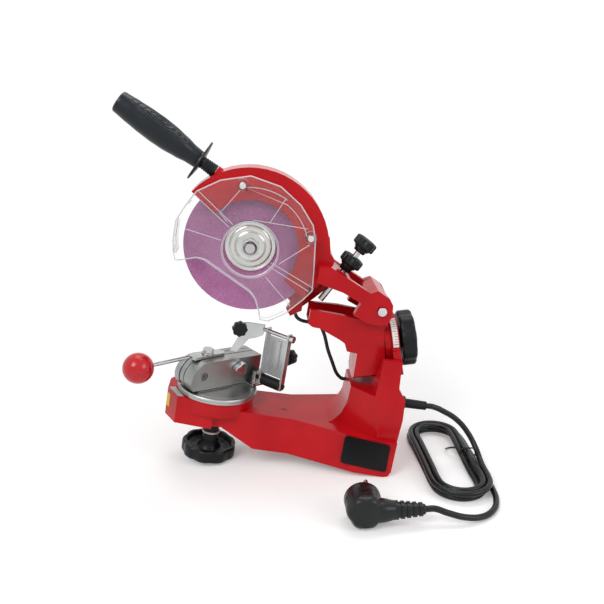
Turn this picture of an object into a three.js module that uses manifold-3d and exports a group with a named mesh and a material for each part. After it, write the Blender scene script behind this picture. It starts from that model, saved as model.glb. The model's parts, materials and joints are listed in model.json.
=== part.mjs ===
import * as THREE from 'three';
import { mergeVertices } from 'three/addons/utils/BufferGeometryUtils.js';
import Module from 'manifold-3d';

const wasm = await Module();
wasm.setup();

// Electric chainsaw sharpener, millimetres. The machine frame has x to the rear, y to the far side
// and z up from the bench face of the base; the whole machine is then pitched back as it stands on
// the knob under its turntable.
const castingModule = 100; // casting and sheet outlines are tables of shares of it
const gap = 0.3;
const clearance = 0.6;
const overrun = 9; // how far a cutter passes what it cuts

// grinding wheel and its spindle
const wheelDiameter = 145;
const wheelThickness = 4.6;
const wheelBore = 22.2;
const wheelCentre = { x: -56, y: -6, z: 230 };
const spindleDiameter = 12;
const flangeDiameter = 56;
const flangeThickness = 5;
const nutDiameter = 21;
const nutHeight = 9;

// housing, guard and motor
const housingRadius = 85.5;
const housingWall = 4.5;
const housingLipRadius = 52;
const housingBackY = 8;
const housingBackThickness = 7;
const housingFrontY = -18;
const cutAngle = -36;
const guardFrontY = -27.5;
const guardThickness = 2.5;
const guardRingRadius = 31;
const guardScrewDiameter = 5;
const guardScrewHead = 9;
const motorDiameter = 88;
const motorLength = 78;
const motorWall = 3.5;
const motorCapLength = 16;
const rotorDiameter = 44;
const statorInner = 46;
const bearingDiameter = 32;
const bearingWidth = 9;
const bearingReach = 8; // front bearing, into the housing
const bearingInset = 2; // rear bearing, into the cap
const statorStart = 16;
const statorLength = 44;
const rotorOverhang = 2; // rotor past the stator at each end
const ventCount = 4;
const ventPitch = 13;
const ventHeight = 4.4;
const ventStart = 14;
const ventLength = 40;
const capFloor = 3;
const capHoleCount = 6;
const capHoleDiameter = 7;
const capHoleDepth = 4;
const switchBox = { x: 26, y: 44, z: 30 };
const switchPlace = { along: 42, lift: 2 };
const switchWell = { x: 18, y: 26, z: 9 };
const rocker = { width: 16.4, length: 22.96, sink: 4.5, high: 2.2, dip: 0.4, low: 0.6 };

// handle
const handleAngle = 152.5;
const handleLength = 122;
const handleDiameter = 29;
const handleGuardDiameter = 47;
const handleStudDiameter = 8;
const handleStart = 7; // from the boss to the foot of the grip
const handleNeck = 9;
const handleGuard = 5; // thickness of the hand guard at its hub
const handleEndRound = 1.5;
const handleBore = 40;
const handleBoss = 15;
const handleBossLength = 26;
const handleStudDepth = 13; // in the boss

// head hinge, arm and depth screw
const hinge = { x: 96, y: 0, z: 185 };
const pinDiameter = 10;
const pinLength = 74;
const pinHead = 3.5;
const earInner = 17.5;
const earOuter = 23.5;
const forkInner = 24.2;
const forkOuter = 33;
const screwFoot = { x: 31, z: 179 };
const screwAngle = 61.7;
const screwDiameter = 7;
const screwLength = 88;
const depthKnobDiameter = 26;
const depthKnobHeight = 11;
const springWire = 1.6;
const springTurns = 7;

// tilt joint of the head
const tiltAngle = 15;
const tiltFace = { x: 116.9, z: 143.5 };
const flangePlate = 8.3;
const flangeRadius = 31;
const hubRadius = 40;
const motorPadDiameter = 91;
const tiltBolt = 10;
const tiltKnobDiameter = 64;
const tiltKnobHeight = 17;

// base, turntable and the knob below it
const baseHeight = 44;
const bossHeight = 54;
const bossRadius = 44;
const shellWall = 6;
const pocketTop = 88;
const cableEntry = { x: 79.3, y: 14, z: 82 };
const turntableX = -70;
const turntableDiameter = 92;
const turntableThickness = 6.2;
const studDiameter = 10;
const lockKnobDiameter = 64;
const lockKnobHeight = 15;
const lockKnobDrop = 28;
const rearEdgeX = 129;

// vice on the turntable
const viceAngle = 39;
const jawHeight = 32;
const jawLength = 97;
const vicePlate = 2;
const ballDiameter = 33;
const leverDiameter = 4.4;
const leverReach = 92;
const leverInset = 24.5; // from the cam pivot to the root of the lever

// chain stop behind the vice
const stopCentre = { x: -7, y: 2 };
const stopAngle = -35;
const stopWidth = 31;
const stopSheet = 2.4;
const stopTop = 130.5;
const stopBottom = 71;
const barrelDiameter = 13;
const pawlAngle = 8;
const pawlSheet = 2.2;

// mains lead and motor cable
const cordDiameter = 6.6;
const cableDiameter = 4.2;

const rad = THREE.MathUtils.degToRad;

function paint(color, roughness, metalness) {
  return new THREE.MeshStandardMaterial({ color, roughness, metalness });
}
const redPaint = paint('#c4161c', 0.35, 0.1);
const blackPlastic = paint('#17191b', 0.5, 0);
const zinc = paint('#b9bcbd', 0.35, 0.9);
const steel = paint('#c9cbcc', 0.25, 1);
const castAluminium = paint('#a9adab', 0.45, 0.8);
const stone = paint('#b3609d', 0.95, 0);
const clear = paint('#e6eef2', 0.08, 0);
const cordRubber = paint('#1c1e21', 0.55, 0);
const ballRed = paint('#c01018', 0.2, 0);
const copper = paint('#a5602f', 0.45, 0.8);
const white = paint('#e9e9e6', 0.5, 0);
const motorGrey = paint('#2b2d30', 0.5, 0.3);

// solids
function solid(geometry) {
  const bare = geometry.clone();
  bare.deleteAttribute('normal');
  bare.deleteAttribute('uv');
  const merged = mergeVertices(bare, 1e-4);
  const kept = [];
  const index = merged.index.array;
  for (let i = 0; i < index.length; i += 3) {
    const [a, b, c] = [index[i], index[i + 1], index[i + 2]];
    if (a !== b && b !== c && c !== a) kept.push(a, b, c);
  }
  return new wasm.Manifold(new wasm.Mesh({
    numProp: 3,
    vertProperties: new Float32Array(merged.attributes.position.array),
    triVerts: new Uint32Array(kept),
  }));
}
function asSolid(thing) {
  return thing.isBufferGeometry ? solid(thing) : thing;
}
function join(first, ...rest) {
  return rest.reduce((sum, next) => sum.add(asSolid(next)), asSolid(first));
}
function cut(first, ...rest) {
  return rest.reduce((sum, next) => sum.subtract(asSolid(next)), asSolid(first));
}
function common(first, ...rest) {
  return rest.reduce((sum, next) => sum.intersect(asSolid(next)), asSolid(first));
}
function toGeometry(thing) {
  if (thing.isBufferGeometry) return thing;
  const mesh = thing.getMesh();
  const geometry = new THREE.BufferGeometry();
  geometry.setAttribute('position', new THREE.BufferAttribute(new Float32Array(mesh.vertProperties), 3));
  geometry.setIndex(new THREE.BufferAttribute(new Uint32Array(mesh.triVerts), 1));
  geometry.computeVertexNormals();
  return geometry;
}
function node(parent, name, thing, material) {
  const mesh = new THREE.Mesh(toGeometry(thing), material);
  mesh.name = name;
  parent.add(mesh);
  return mesh;
}

// basic shapes
function box(x0, x1, y0, y1, z0, z1) {
  const geometry = new THREE.BoxGeometry(x1 - x0, y1 - y0, z1 - z0);
  return geometry.translate((x0 + x1) / 2, (y0 + y1) / 2, (z0 + z1) / 2);
}
function aim(geometry, from, direction) {
  const turn = new THREE.Quaternion().setFromUnitVectors(new THREE.Vector3(0, 1, 0), direction);
  return geometry.applyQuaternion(turn).translate(from.x, from.y, from.z);
}
const vec = (x, y, z) => new THREE.Vector3(x, y, z);
function rod(diameter, from, to, sides = 24, endDiameter = diameter) {
  const axis = to.clone().sub(from);
  const length = axis.length();
  const geometry = new THREE.CylinderGeometry(endDiameter / 2, diameter / 2, length, sides);
  return aim(geometry.translate(0, length / 2, 0), from, axis.normalize());
}
function turned(profile, from, direction, sides = 32) {
  const points = profile.map(([radius, height]) => new THREE.Vector2(radius, height));
  return aim(new THREE.LatheGeometry(points, sides), from, direction.clone().normalize());
}
function outline(shares, scale = castingModule) {
  return shares.map(([a, b]) => new THREE.Vector2(a * scale, b * scale));
}
// outline in x and z, thickness from y0 to y1
function slabY(points, y0, y1) {
  const geometry = new THREE.ExtrudeGeometry(new THREE.Shape(points), { depth: y1 - y0,
    bevelEnabled: false });
  return geometry.rotateX(Math.PI / 2).translate(0, y1, 0);
}
// outline in x and y, thickness from z0 to z1
function slabZ(points, z0, z1) {
  const geometry = new THREE.ExtrudeGeometry(new THREE.Shape(points), { depth: z1 - z0,
    bevelEnabled: false });
  return geometry.translate(0, 0, z0);
}
function arcPoints(cx, cy, radius, startDegrees, endDegrees, steps) {
  const points = [];
  for (let i = 0; i <= steps; i += 1) {
    const angle = rad(startDegrees + ((endDegrees - startDegrees) * i) / steps);
    points.push(new THREE.Vector2(cx + radius * Math.cos(angle), cy + radius * Math.sin(angle)));
  }
  return points;
}
function mirrored(points) {
  const back = points.map((p) => new THREE.Vector2(p.x, -p.y)).reverse();
  return [...points, ...back];
}
function along(origin, direction, distance) {
  return origin.clone().addScaledVector(direction, distance);
}
// hand knob with finger hollows round its rim, axis from the foot outwards
function lobedKnob(diameter, height, lobes, depthShare, from, direction, stepsPerLobe = 4) {
  const points = [];
  const count = lobes * stepsPerLobe;
  for (let i = 0; i < count; i += 1) {
    const angle = (2 * Math.PI * i) / count;
    const radius = (diameter / 2) * (1 - (depthShare * (1 - Math.cos(lobes * angle))) / 2);
    points.push(new THREE.Vector2(radius * Math.cos(angle), radius * Math.sin(angle)));
  }
  const bevel = height * knobBevelShare;
  const shape = new THREE.Shape(points);
  const geometry = new THREE.ExtrudeGeometry(shape, {
    depth: height - 2 * bevel, bevelSize: bevel, bevelOffset: -bevel, bevelThickness: bevel,
      bevelSegments: 1 });
  geometry.translate(0, 0, bevel).rotateX(-Math.PI / 2);
  return aim(geometry, from, direction.clone().normalize());
}
const up = vec(0, 0, 1);
const far = vec(0, 1, 0);
const rear = vec(1, 0, 0);

// turntable stud axis and pitch of the standing machine
const knobBevelShare = 0.1;
const lockRearX = turntableX + lockKnobDiameter / 2 - lockKnobHeight * knobBevelShare;
const pitch = Math.atan(lockKnobDrop / (rearEdgeX - lockRearX));
const standHeight = rearEdgeX * Math.sin(pitch);

const machine = new THREE.Group();
machine.rotation.y = pitch;
machine.position.z = standHeight;

// tilt frame: its axis rises to the rear
const tiltAxis = vec(Math.cos(rad(tiltAngle)), 0, Math.sin(rad(tiltAngle)));
const tiltOrigin = vec(tiltFace.x, 0, tiltFace.z);
const tiltAt = (distance) => along(tiltOrigin, tiltAxis, distance);

function baseCasting() {
  const planShares = [[1.37, 0.62], [0.95, 0.59], [0.57, 0.46], [0.20, 0.34], [-0.60, 0.32], [-1.12, 0.34],
    [-1.25, 0.13]];
  const footShares = [[-1.4, -0.2], [-1.4, 0.217], [-0.59, 0.217], [-0.20, 0], [-0.20, -0.2]];
  const noseShares = [[-0.70, 0.40], [-1.12, 0.345], [-1.25, 0.13]];
  const heelShares = [[1.29, -0.1], [1.29, 0], [1.345, 0.02], [1.365, 0.07], [1.45, 0.07], [1.45, -0.1]];
  const columnSideShares = [[0.50, 0.40], [0.66, 0.46], [0.75, 0.55], [0.795, 0.68], [0.80, 0.90],
    [1.05, 0.90], [1.06, 1.34], [1.28, 1.34], [1.28, 1.20], [1.29, 1.04], [1.38, 0.92], [1.39, 0.70],
    [1.37, 0.20]];
  const columnPlanShares = [[0.50, 0.34], [0.78, 0.23], [1.05, 0.47], [1.14, 0.56], [1.42, 0.56]];
  const columnFrontShares = [[0.20, 0.61], [0.44, 0.60], [0.92, 0.525], [1.36, 0.455]];
  const plan = mirrored(outline(planShares));
  let body = join(slabZ(plan, 0, baseHeight), slabZ(mirrored(outline(noseShares)), baseHeight / 2,
    bossHeight));
  const bossFoot = vec(turntableX, 0, baseHeight - shellWall);
  body = join(body, rod(bossRadius * 2, bossFoot, vec(turntableX, 0, bossHeight), 48));
  body = cut(body, slabY(outline(footShares), -castingModule, castingModule));
  body = cut(body, slabY(outline(heelShares), -castingModule, castingModule));
  const side = slabY(outline(columnSideShares), -castingModule, castingModule);
  const columnPlan = slabZ(mirrored(outline(columnPlanShares)), 0, castingModule * 2);
  const front = outline(columnFrontShares).map((p) => new THREE.Vector2(p.y, p.x));
  const frontView = slabZ([...front, ...front.map((p) => new THREE.Vector2(-p.x, p.y)).reverse()], 0,
    castingModule * 2);
  frontView.rotateX(Math.PI / 2).rotateZ(Math.PI / 2);
  body = join(body, common(side, columnPlan, frontView));
  // flange of the tilt joint, leaning forward
  const flare = flangeRadius * 1.42;
  const flangeOutline = [vec(flare, -27, 0), ...arcPoints(0, 0, flangeRadius, -8, 188, 22),
    vec(-flare, -27, 0)]
    .map((p) => new THREE.Vector2(p.x, p.y));
  const flange = new THREE.ExtrudeGeometry(new THREE.Shape(flangeOutline),
    { depth: flangePlate, bevelEnabled: false });
  placeInTilt(flange, 0);
  body = join(body, flange);
  // room for the hub of the head, bolt hole, hollow underside
  const room = rod((hubRadius + clearance * 2) * 2, tiltAt(-castingModule * 0.6), tiltAt(0), 48);
  const roomFloor = castingModule * 0.9;
  const above = box(0, castingModule * 2, -castingModule, castingModule, roomFloor, castingModule * 2);
  body = cut(body, common(room, above));
  const mouth = box(tiltFace.x - castingModule, castingModule * 1.05, -hubRadius - clearance * 2,
    hubRadius + clearance * 2, roomFloor, castingModule * 1.6);
  body = cut(body, mouth);
  body = cut(body, rod(tiltBolt + clearance, tiltAt(-castingModule * 0.1), tiltAt(castingModule * 0.4),
    20));
  const inner = [[1.31, 0.54], [0.95, 0.52], [0.57, 0.39], [0.20, 0.27], [-0.14, 0.265]];
  body = cut(body, slabZ(mirrored(outline(inner)), -castingModule * 0.1, baseHeight - shellWall));
  const innerFront = [[-0.14, 0.265], [-0.60, 0.26], [-1.08, 0.27], [-1.18, 0.10]];
  body = cut(body, slabZ(mirrored(outline(innerFront)), 0, baseHeight - shellWall));
  const pocketShares = [[1.30, 0.42], [0.90, 0.30]];
  const pocket = slabZ(mirrored(outline(pocketShares)), baseHeight - shellWall * 2, pocketTop);
  body = cut(body, pocket);
  body = cut(body, rod(studDiameter + clearance, vec(turntableX, 0, 0), vec(turntableX, 0, bossHeight * 2),
    24));
  const entry = vec(cableEntry.x, cableEntry.y, cableEntry.z);
  body = cut(body, rod(cableDiameter + clearance * 2, along(entry, rear, -8), along(entry, rear, 8), 16));
  body = cut(body, glandHole());
  return body;
}
function placeInTilt(geometry, distance) {
  // local x across, local y up in the flange plane, local z along the tilt axis
  const lean = new THREE.Vector3().crossVectors(tiltAxis, far);
  geometry.applyMatrix4(new THREE.Matrix4().makeBasis(far, lean, tiltAxis));
  const origin = tiltAt(distance);
  return geometry.translate(origin.x, origin.y, origin.z);
}
const glandAxis = { y: -30, z: 80 };
function glandHole() {
  return rod(cordDiameter * 1.8, vec(castingModule * 1.1, glandAxis.y, glandAxis.z),
    vec(castingModule * 1.6, glandAxis.y, glandAxis.z), 20);
}
node(machine, 'base_casting', baseCasting(), redPaint);

function sidePlate() {
  const plateShares = [[0.78, 0.105], [1.31, 0.07], [1.30, 0.405], [0.78, 0.445]];
  const flareTurn = Math.atan2(3, 42);
  const plate = slabY(outline(plateShares), -1, 0);
  plate.translate(-castingModule * 0.95, 0, 0).rotateZ(-flareTurn);
  return plate.translate(castingModule * 0.95, -castingModule * 0.59 - gap, 0);
}
node(machine, 'side_plate', sidePlate(), blackPlastic);

// knob below the turntable
function lockKnob() {
  const foot = vec(turntableX, 0, -lockKnobDrop);
  const coneProfile = [[0, -1], [lockKnobDiameter * 0.36, -1], [lockKnobDiameter * 0.14, 12],
    [0, 12]];
  const cone = turned(coneProfile, vec(turntableX, 0, -lockKnobDrop + lockKnobHeight), up, 32);
  return join(lobedKnob(lockKnobDiameter, lockKnobHeight, 9, 0.05, foot, up, 4), cone);
}
const lockKnobTop = -lockKnobDrop + lockKnobHeight + 12;
const lockKnobSolid = cut(lockKnob(), rod(studDiameter + gap * 2, vec(turntableX, 0, lockKnobTop - 12),
  vec(turntableX, 0, lockKnobTop + 1), 24));
node(machine, 'lock_knob', lockKnobSolid, blackPlastic);
const studTop = bossHeight + gap + turntableThickness - 1;
node(machine, 'lock_stud', rod(studDiameter, vec(turntableX, 0, lockKnobTop - 12 + gap),
  vec(turntableX, 0, studTop), 24), zinc);
function sleeve(inner, outer, z0, z1, sides = 32) {
  return turned([[inner / 2, z0], [outer / 2, z0], [outer / 2, z1], [inner / 2, z1], [inner / 2, z0]],
    vec(turntableX, 0, 0), up, sides);
}
const washerBottom = lockKnobTop + gap;
const boreDiameter = studDiameter + gap * 2;
node(machine, 'lock_spacer', sleeve(boreDiameter, studDiameter * 1.8, washerBottom,
  baseHeight - shellWall - gap), white);

// turntable
const tableBottom = bossHeight + gap;
const tableTop = tableBottom + turntableThickness;
function turntable() {
  const radius = turntableDiameter / 2;
  const bore = studDiameter / 2 + gap;
  const chamfer = turntableThickness * 0.15;
  return turned([[bore, 0], [radius - chamfer, 0], [radius, chamfer],
    [radius, turntableThickness - chamfer], [radius - chamfer, turntableThickness],
    [bore, turntableThickness], [bore, 0]], vec(turntableX, 0, tableBottom), up, 40);
}
node(machine, 'turntable', turntable(), castAluminium);

// vice, in its own turned group
const vice = new THREE.Group();
vice.position.set(turntableX, 0, tableTop + gap);
vice.rotation.z = rad(viceAngle);
machine.add(vice);

const jawFoot = vicePlate + gap;
const jawTop = jawFoot + jawHeight;
function jawProfile(noseX, rearX) {
  const nose = jawHeight * 0.66;
  const points = [new THREE.Vector2(noseX + jawHeight * 0.12, jawFoot)];
  points.push(...arcPoints(noseX + nose, jawTop - nose, nose, 190, 90, 8));
  points.push(new THREE.Vector2(rearX, jawTop), new THREE.Vector2(rearX, jawFoot));
  return points;
}
const jawNose = -jawLength * 0.485;
const jawRear = jawNose + jawLength;
const nearJaw = { front: -12, back: 2.5 };
const fixedJaw = { front: 4, back: 11 };
const farJaw = { front: 12.2, back: 20 };
const viceScrew = { x: 17.2, z: 23.3 };
const pivotScrew = { x: -29.8, z: 18 };
function movingJaw() {
  const milled = 1;
  let jaw = asSolid(slabY(jawProfile(jawNose, jawRear), nearJaw.front - milled, nearJaw.back));
  const flat = box(jawNose + jawLength * 0.13, jawRear + 1, nearJaw.front - milled * 2, nearJaw.front,
    jawFoot - 1, jawTop + 1);
  const step = box(jawRear - jawLength * 0.4, jawRear + 1, nearJaw.front - 1, nearJaw.front + milled * 2,
    jawFoot - 1, jawFoot + jawHeight * 0.3);
  jaw = cut(jaw, flat, step);
  jaw = cut(jaw, rod(6.8, vec(viceScrew.x, nearJaw.front - 9, viceScrew.z),
    vec(viceScrew.x, nearJaw.back + 9, viceScrew.z), 16));
  return cut(jaw, rod(9.6, vec(pivotScrew.x, nearJaw.front - 9, pivotScrew.z),
    vec(pivotScrew.x, nearJaw.front + 5, pivotScrew.z), 20));
}
node(vice, 'jaw_moving', movingJaw(), castAluminium);
node(vice, 'jaw_fixed', slabY(jawProfile(jawNose, jawRear), fixedJaw.front, fixedJaw.back), castAluminium);
node(vice, 'jaw_backing', slabY(jawProfile(jawNose - 1, jawRear), farJaw.front - gap * 3 / 2, farJaw.back),
  castAluminium);

function vicePlateShape() {
  const plateShares = [[-0.33, -0.10], [0.32, -0.10], [0.33, -0.235], [0.50, -0.235], [0.50, 0.17],
    [-0.33, 0.17]];
  return slabZ(outline(plateShares), 0, vicePlate);
}
node(vice, 'vice_plate', vicePlateShape(), zinc);

function jawScrew() {
  const head = lobedKnob(17, 7, 3, 0.42, vec(viceScrew.x, nearJaw.front - gap, viceScrew.z), vec(0, -1, 0),
    8);
  return join(head, rod(6.2, vec(viceScrew.x, nearJaw.front - 1, viceScrew.z),
    vec(viceScrew.x, fixedJaw.front - gap, viceScrew.z), 16));
}
node(vice, 'jaw_screw', jawScrew(), zinc);
function pivotScrewShape() {
  const face = nearJaw.front + 0.6;
  const body = rod(9, vec(pivotScrew.x, face, pivotScrew.z),
    vec(pivotScrew.x, nearJaw.front + 5 - gap, pivotScrew.z), 20);
  return cut(body, rod(4.6, vec(pivotScrew.x, face - 1, pivotScrew.z),
    vec(pivotScrew.x, face + 2, pivotScrew.z), 6));
}
node(vice, 'jaw_pivot_screw', pivotScrewShape(), steel);

// cam plate with its bolt, lever and ball
const camPivot = { x: -16, y: 5 };
const camFoot = jawTop + gap;
const camHeight = 3.2;
function camPlate() {
  const camShares = [[-0.22, -0.075], [0.20, -0.05], [0.235, 0], [0.20, 0.07], [-0.16, 0.085],
    [-0.24, 0.02]];
  const plate = slabZ(outline(camShares), camFoot, camFoot + camHeight);
  plate.translate(camPivot.x, camPivot.y, 0);
  return cut(plate, rod(8.8, vec(camPivot.x, camPivot.y, camFoot - 1),
    vec(camPivot.x, camPivot.y, camFoot + camHeight + 1), 20));
}
node(vice, 'cam_plate', camPlate(), zinc);
function camBolt() {
  const headFoot = camFoot + camHeight + gap;
  const shank = rod(8, vec(camPivot.x, camPivot.y, camFoot), vec(camPivot.x, camPivot.y, headFoot + 1), 20);
  return join(shank, rod(15, vec(camPivot.x, camPivot.y, headFoot),
    vec(camPivot.x, camPivot.y, headFoot + 1.4), 24), rod(12.5, vec(camPivot.x, camPivot.y, headFoot + 1.3),
    vec(camPivot.x, camPivot.y, headFoot + 6), 6));
}
node(vice, 'cam_bolt', camBolt(), zinc);
const leverStart = vec(camPivot.x - leverInset, camPivot.y + 1, camFoot + camHeight / 2);
const leverEnd = vec(camPivot.x - leverReach + 9, camPivot.y - 1, camFoot - 1);
node(vice, 'clamp_lever', rod(leverDiameter, leverStart, leverEnd, 16), zinc);
function leverBall() {
  const leverLine = leverEnd.clone().sub(leverStart).normalize();
  const centre = along(leverEnd, leverLine, ballDiameter * 0.2);
  const ball = new THREE.SphereGeometry(ballDiameter / 2, 18, 10).translate(centre.x, centre.y, centre.z);
  return cut(ball, rod(leverDiameter + gap * 2, along(leverStart, leverLine, 5),
    along(leverEnd, leverLine, gap), 16));
}
node(vice, 'lever_ball', leverBall(), ballRed);

// chain stop
const stop = new THREE.Group();
stop.position.set(stopCentre.x, stopCentre.y, 0);
stop.rotation.z = rad(stopAngle);
machine.add(stop);
const halfStop = stopWidth / 2;
const axleDiameter = 5;
function stopBracket() {
  const web = box(-halfStop, halfStop, -stopSheet / 2, stopSheet / 2, stopBottom + barrelDiameter / 2 + 1,
    stopTop - 5);
  const cheek = (side) => {
    const inner = side * (halfStop - stopSheet);
    const outer = side * halfStop;
    return box(Math.min(inner, outer), Math.max(inner, outer), -6.5, stopSheet / 2, stopBottom - 5,
      stopTop + 4.5);
  };
  const rib = box(-stopSheet / 2, stopSheet / 2 + 3, -3.5, 0, stopBottom + 18, stopTop - 8);
  const hole = (z) => rod(axleDiameter + clearance, vec(-halfStop * 2, -2.5, z), vec(halfStop * 2, -2.5,
    z), 16);
  return cut(join(web, cheek(-1), cheek(1), rib), hole(stopTop), hole(stopBottom));
}
node(stop, 'stop_bracket', stopBracket(), zinc);
function stopAxle() {
  return join(rod(axleDiameter, vec(-halfStop - 5, -2.5, stopTop), vec(halfStop + 4, -2.5, stopTop), 16),
    rod(axleDiameter * 1.7, vec(halfStop + gap, -2.5, stopTop), vec(halfStop + 5, -2.5, stopTop), 16));
}
node(stop, 'stop_axle', stopAxle(), steel);
function stopBarrel() {
  const barrel = rod(barrelDiameter, vec(-halfStop + stopSheet + gap, -2.5, stopBottom),
    vec(halfStop - stopSheet - gap, -2.5, stopBottom), 24);
  const pin = rod(axleDiameter, vec(-halfStop - 9, -2.5, stopBottom), vec(halfStop + 2, -2.5, stopBottom),
    16);
  return join(barrel, pin);
}
node(stop, 'stop_barrel', stopBarrel(), blackPlastic);
function stopEar() {
  const ear = box(-halfStop - 8, -halfStop - 3.6, -9, 4, tableTop + gap * 2 + vicePlate, stopBottom + 8);
  return cut(ear, rod(axleDiameter + clearance, vec(-halfStop - 20, -2.5, stopBottom),
    vec(0, -2.5, stopBottom), 16));
}
node(stop, 'stop_ear', stopEar(), zinc);

function stopKnob() {
  const foot = vec(halfStop - 9, stopSheet / 2 + gap, castingModule);
  const profile = [[0, 0], [9, 0], [5.5, 8.5], [5, 10.5], [0, 10.5]];
  const skirt = turned(profile, foot, far, 24);
  const head = lobedKnob(19, 12, 5, 0.12, along(foot, far, 10), far, 6);
  return join(skirt, head);
}
node(stop, 'stop_knob', stopKnob(), blackPlastic);

// pawl that holds the chain tooth
const pawl = new THREE.Group();
const axleEnd = halfStop + 8.5;
pawl.position.set(stopCentre.x - Math.cos(rad(stopAngle)) * axleEnd - Math.sin(rad(stopAngle)) * -2.5,
  stopCentre.y - Math.sin(rad(stopAngle)) * axleEnd + Math.cos(rad(stopAngle)) * -2.5, 0);
pawl.rotation.z = rad(pawlAngle);
machine.add(pawl);
function pawlShape() {
  const pawlShares = [[0.02, 1.23], [0.03, 1.36], [-0.18, 1.37], [-0.29, 1.35], [-0.30, 1.25],
    [-0.25, 1.22], [-0.34, 1.00], [-0.26, 0.99], [-0.14, 1.17], [-0.06, 1.19]];
  return slabY(outline(pawlShares), -pawlSheet, 0);
}
node(pawl, 'stop_pawl', pawlShape(), zinc);
function pawlKnob() {
  const at = vec(-castingModule * 0.27, -pawlSheet - gap, castingModule * 1.30);
  const near = vec(0, -1, 0);
  return lobedKnob(18, 9, 6, 0.1, at, near, 4);
}
node(pawl, 'pawl_knob', pawlKnob(), blackPlastic);

// tilting bracket that carries the head
function tiltBracket() {
  const bodyShares = [[0.20, 1.71], [0.20, 1.54], [0.26, 1.51], [0.34, 1.51], [0.58, 1.42], [0.64, 1.39],
    [0.68, 1.30], [0.80, 1.29], [0.81, 0.96], [1.20, 0.96], [1.06, 1.56], [1.03, 1.67], [0.54, 1.71]];
  const planShares = [[0.19, 0.17], [0.62, 0.235], [1.20, 0.24]];
  let body = common(slabY(outline(bodyShares), -castingModule * 0.24, castingModule * 0.24),
    slabZ(mirrored(outline(planShares)), castingModule * 0.9, castingModule * 1.8));
  // hub is round about the tilt axis and ends in a plain face
  const core = rod(hubRadius * 2, tiltAt(-castingModule * 1.4), tiltAt(-gap), 48);
  const upper = box(0, castingModule * 1.3, -castingModule, castingModule, castingModule * 1.4,
    castingModule * 2);
  const facing = placeInTilt(box(-castingModule, castingModule, -castingModule, castingModule,
    -castingModule * 1.6, -gap), 0);
  body = common(body, join(core, upper), facing);
  const disc = rod((flangeRadius - 4.5) * 2, tiltAt(-7), tiltAt(-gap), 48);
  body = join(body, disc);
  const channelShares = [[0.15, 1.80], [0.15, 1.555], [0.40, 1.555], [0.60, 1.48], [0.80, 1.48],
    [0.80, 1.80]];
  const channelPlan = [[0.14, 0.12], [0.62, 0.18], [0.82, 0.18]];
  body = cut(body, common(slabY(outline(channelShares), -castingModule, castingModule),
    slabZ(mirrored(outline(channelPlan)), castingModule, castingModule * 2)));
  // ears round the hinge pin
  const earShares = [[0.82, 1.60], [0.85, 1.86], [1.07, 1.86], [1.05, 1.60]];
  const earTop = rod(pinDiameter + 13, vec(hinge.x, -earOuter, hinge.z), vec(hinge.x, earOuter, hinge.z),
    28);
  body = join(body, slabY(outline(earShares), -earOuter, earOuter), earTop);
  body = cut(body, box(castingModule * 0.6, castingModule * 1.3, -earInner, earInner, castingModule * 1.67,
    castingModule * 2.2));
  body = cut(body, rod(pinDiameter + gap * 2, vec(hinge.x, -castingModule, hinge.z),
    vec(hinge.x, castingModule, hinge.z), 24));
  body = cut(body, placeInTilt(box(-castingModule, castingModule, -castingModule, castingModule, -gap,
    castingModule), 0));
  return cut(body, rod(tiltBolt + gap * 2, tiltAt(-castingModule * 0.3), tiltAt(10), 20));
}
node(machine, 'tilt_bracket', tiltBracket(), redPaint);

const knobFoot = flangePlate + gap;
node(machine, 'tilt_bolt', rod(tiltBolt, tiltAt(-castingModule * 0.3 + gap), tiltAt(knobFoot + 9), 20),
  zinc);
function tiltKnob() {
  const collar = rod(tiltBolt * 2.3, tiltAt(knobFoot), tiltAt(knobFoot + 4), 28);
  const head = lobedKnob(tiltKnobDiameter, tiltKnobHeight, 9, 0.05, tiltAt(knobFoot + 3), tiltAxis, 4);
  return cut(join(head, collar), rod(tiltBolt + gap * 2, tiltAt(knobFoot - 1), tiltAt(knobFoot + 9 + gap),
    20));
}
node(machine, 'tilt_knob', tiltKnob(), blackPlastic);

// room that the nose of the bracket sweeps through when the head comes down
function travelRoom() {
  const reach = castingModule * 0.84;
  const turn = (share, radius) => new THREE.Vector2(hinge.x + radius * Math.cos(rad(share)),
    hinge.z + radius * Math.sin(rad(share)));
  const points = [turn(171, reach * 0.35), turn(171, reach), turn(180, reach), turn(190, reach),
    turn(203, reach), turn(203, reach * 0.35)];
  return slabY(points, -earOuter - clearance, earOuter + clearance);
}

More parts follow.
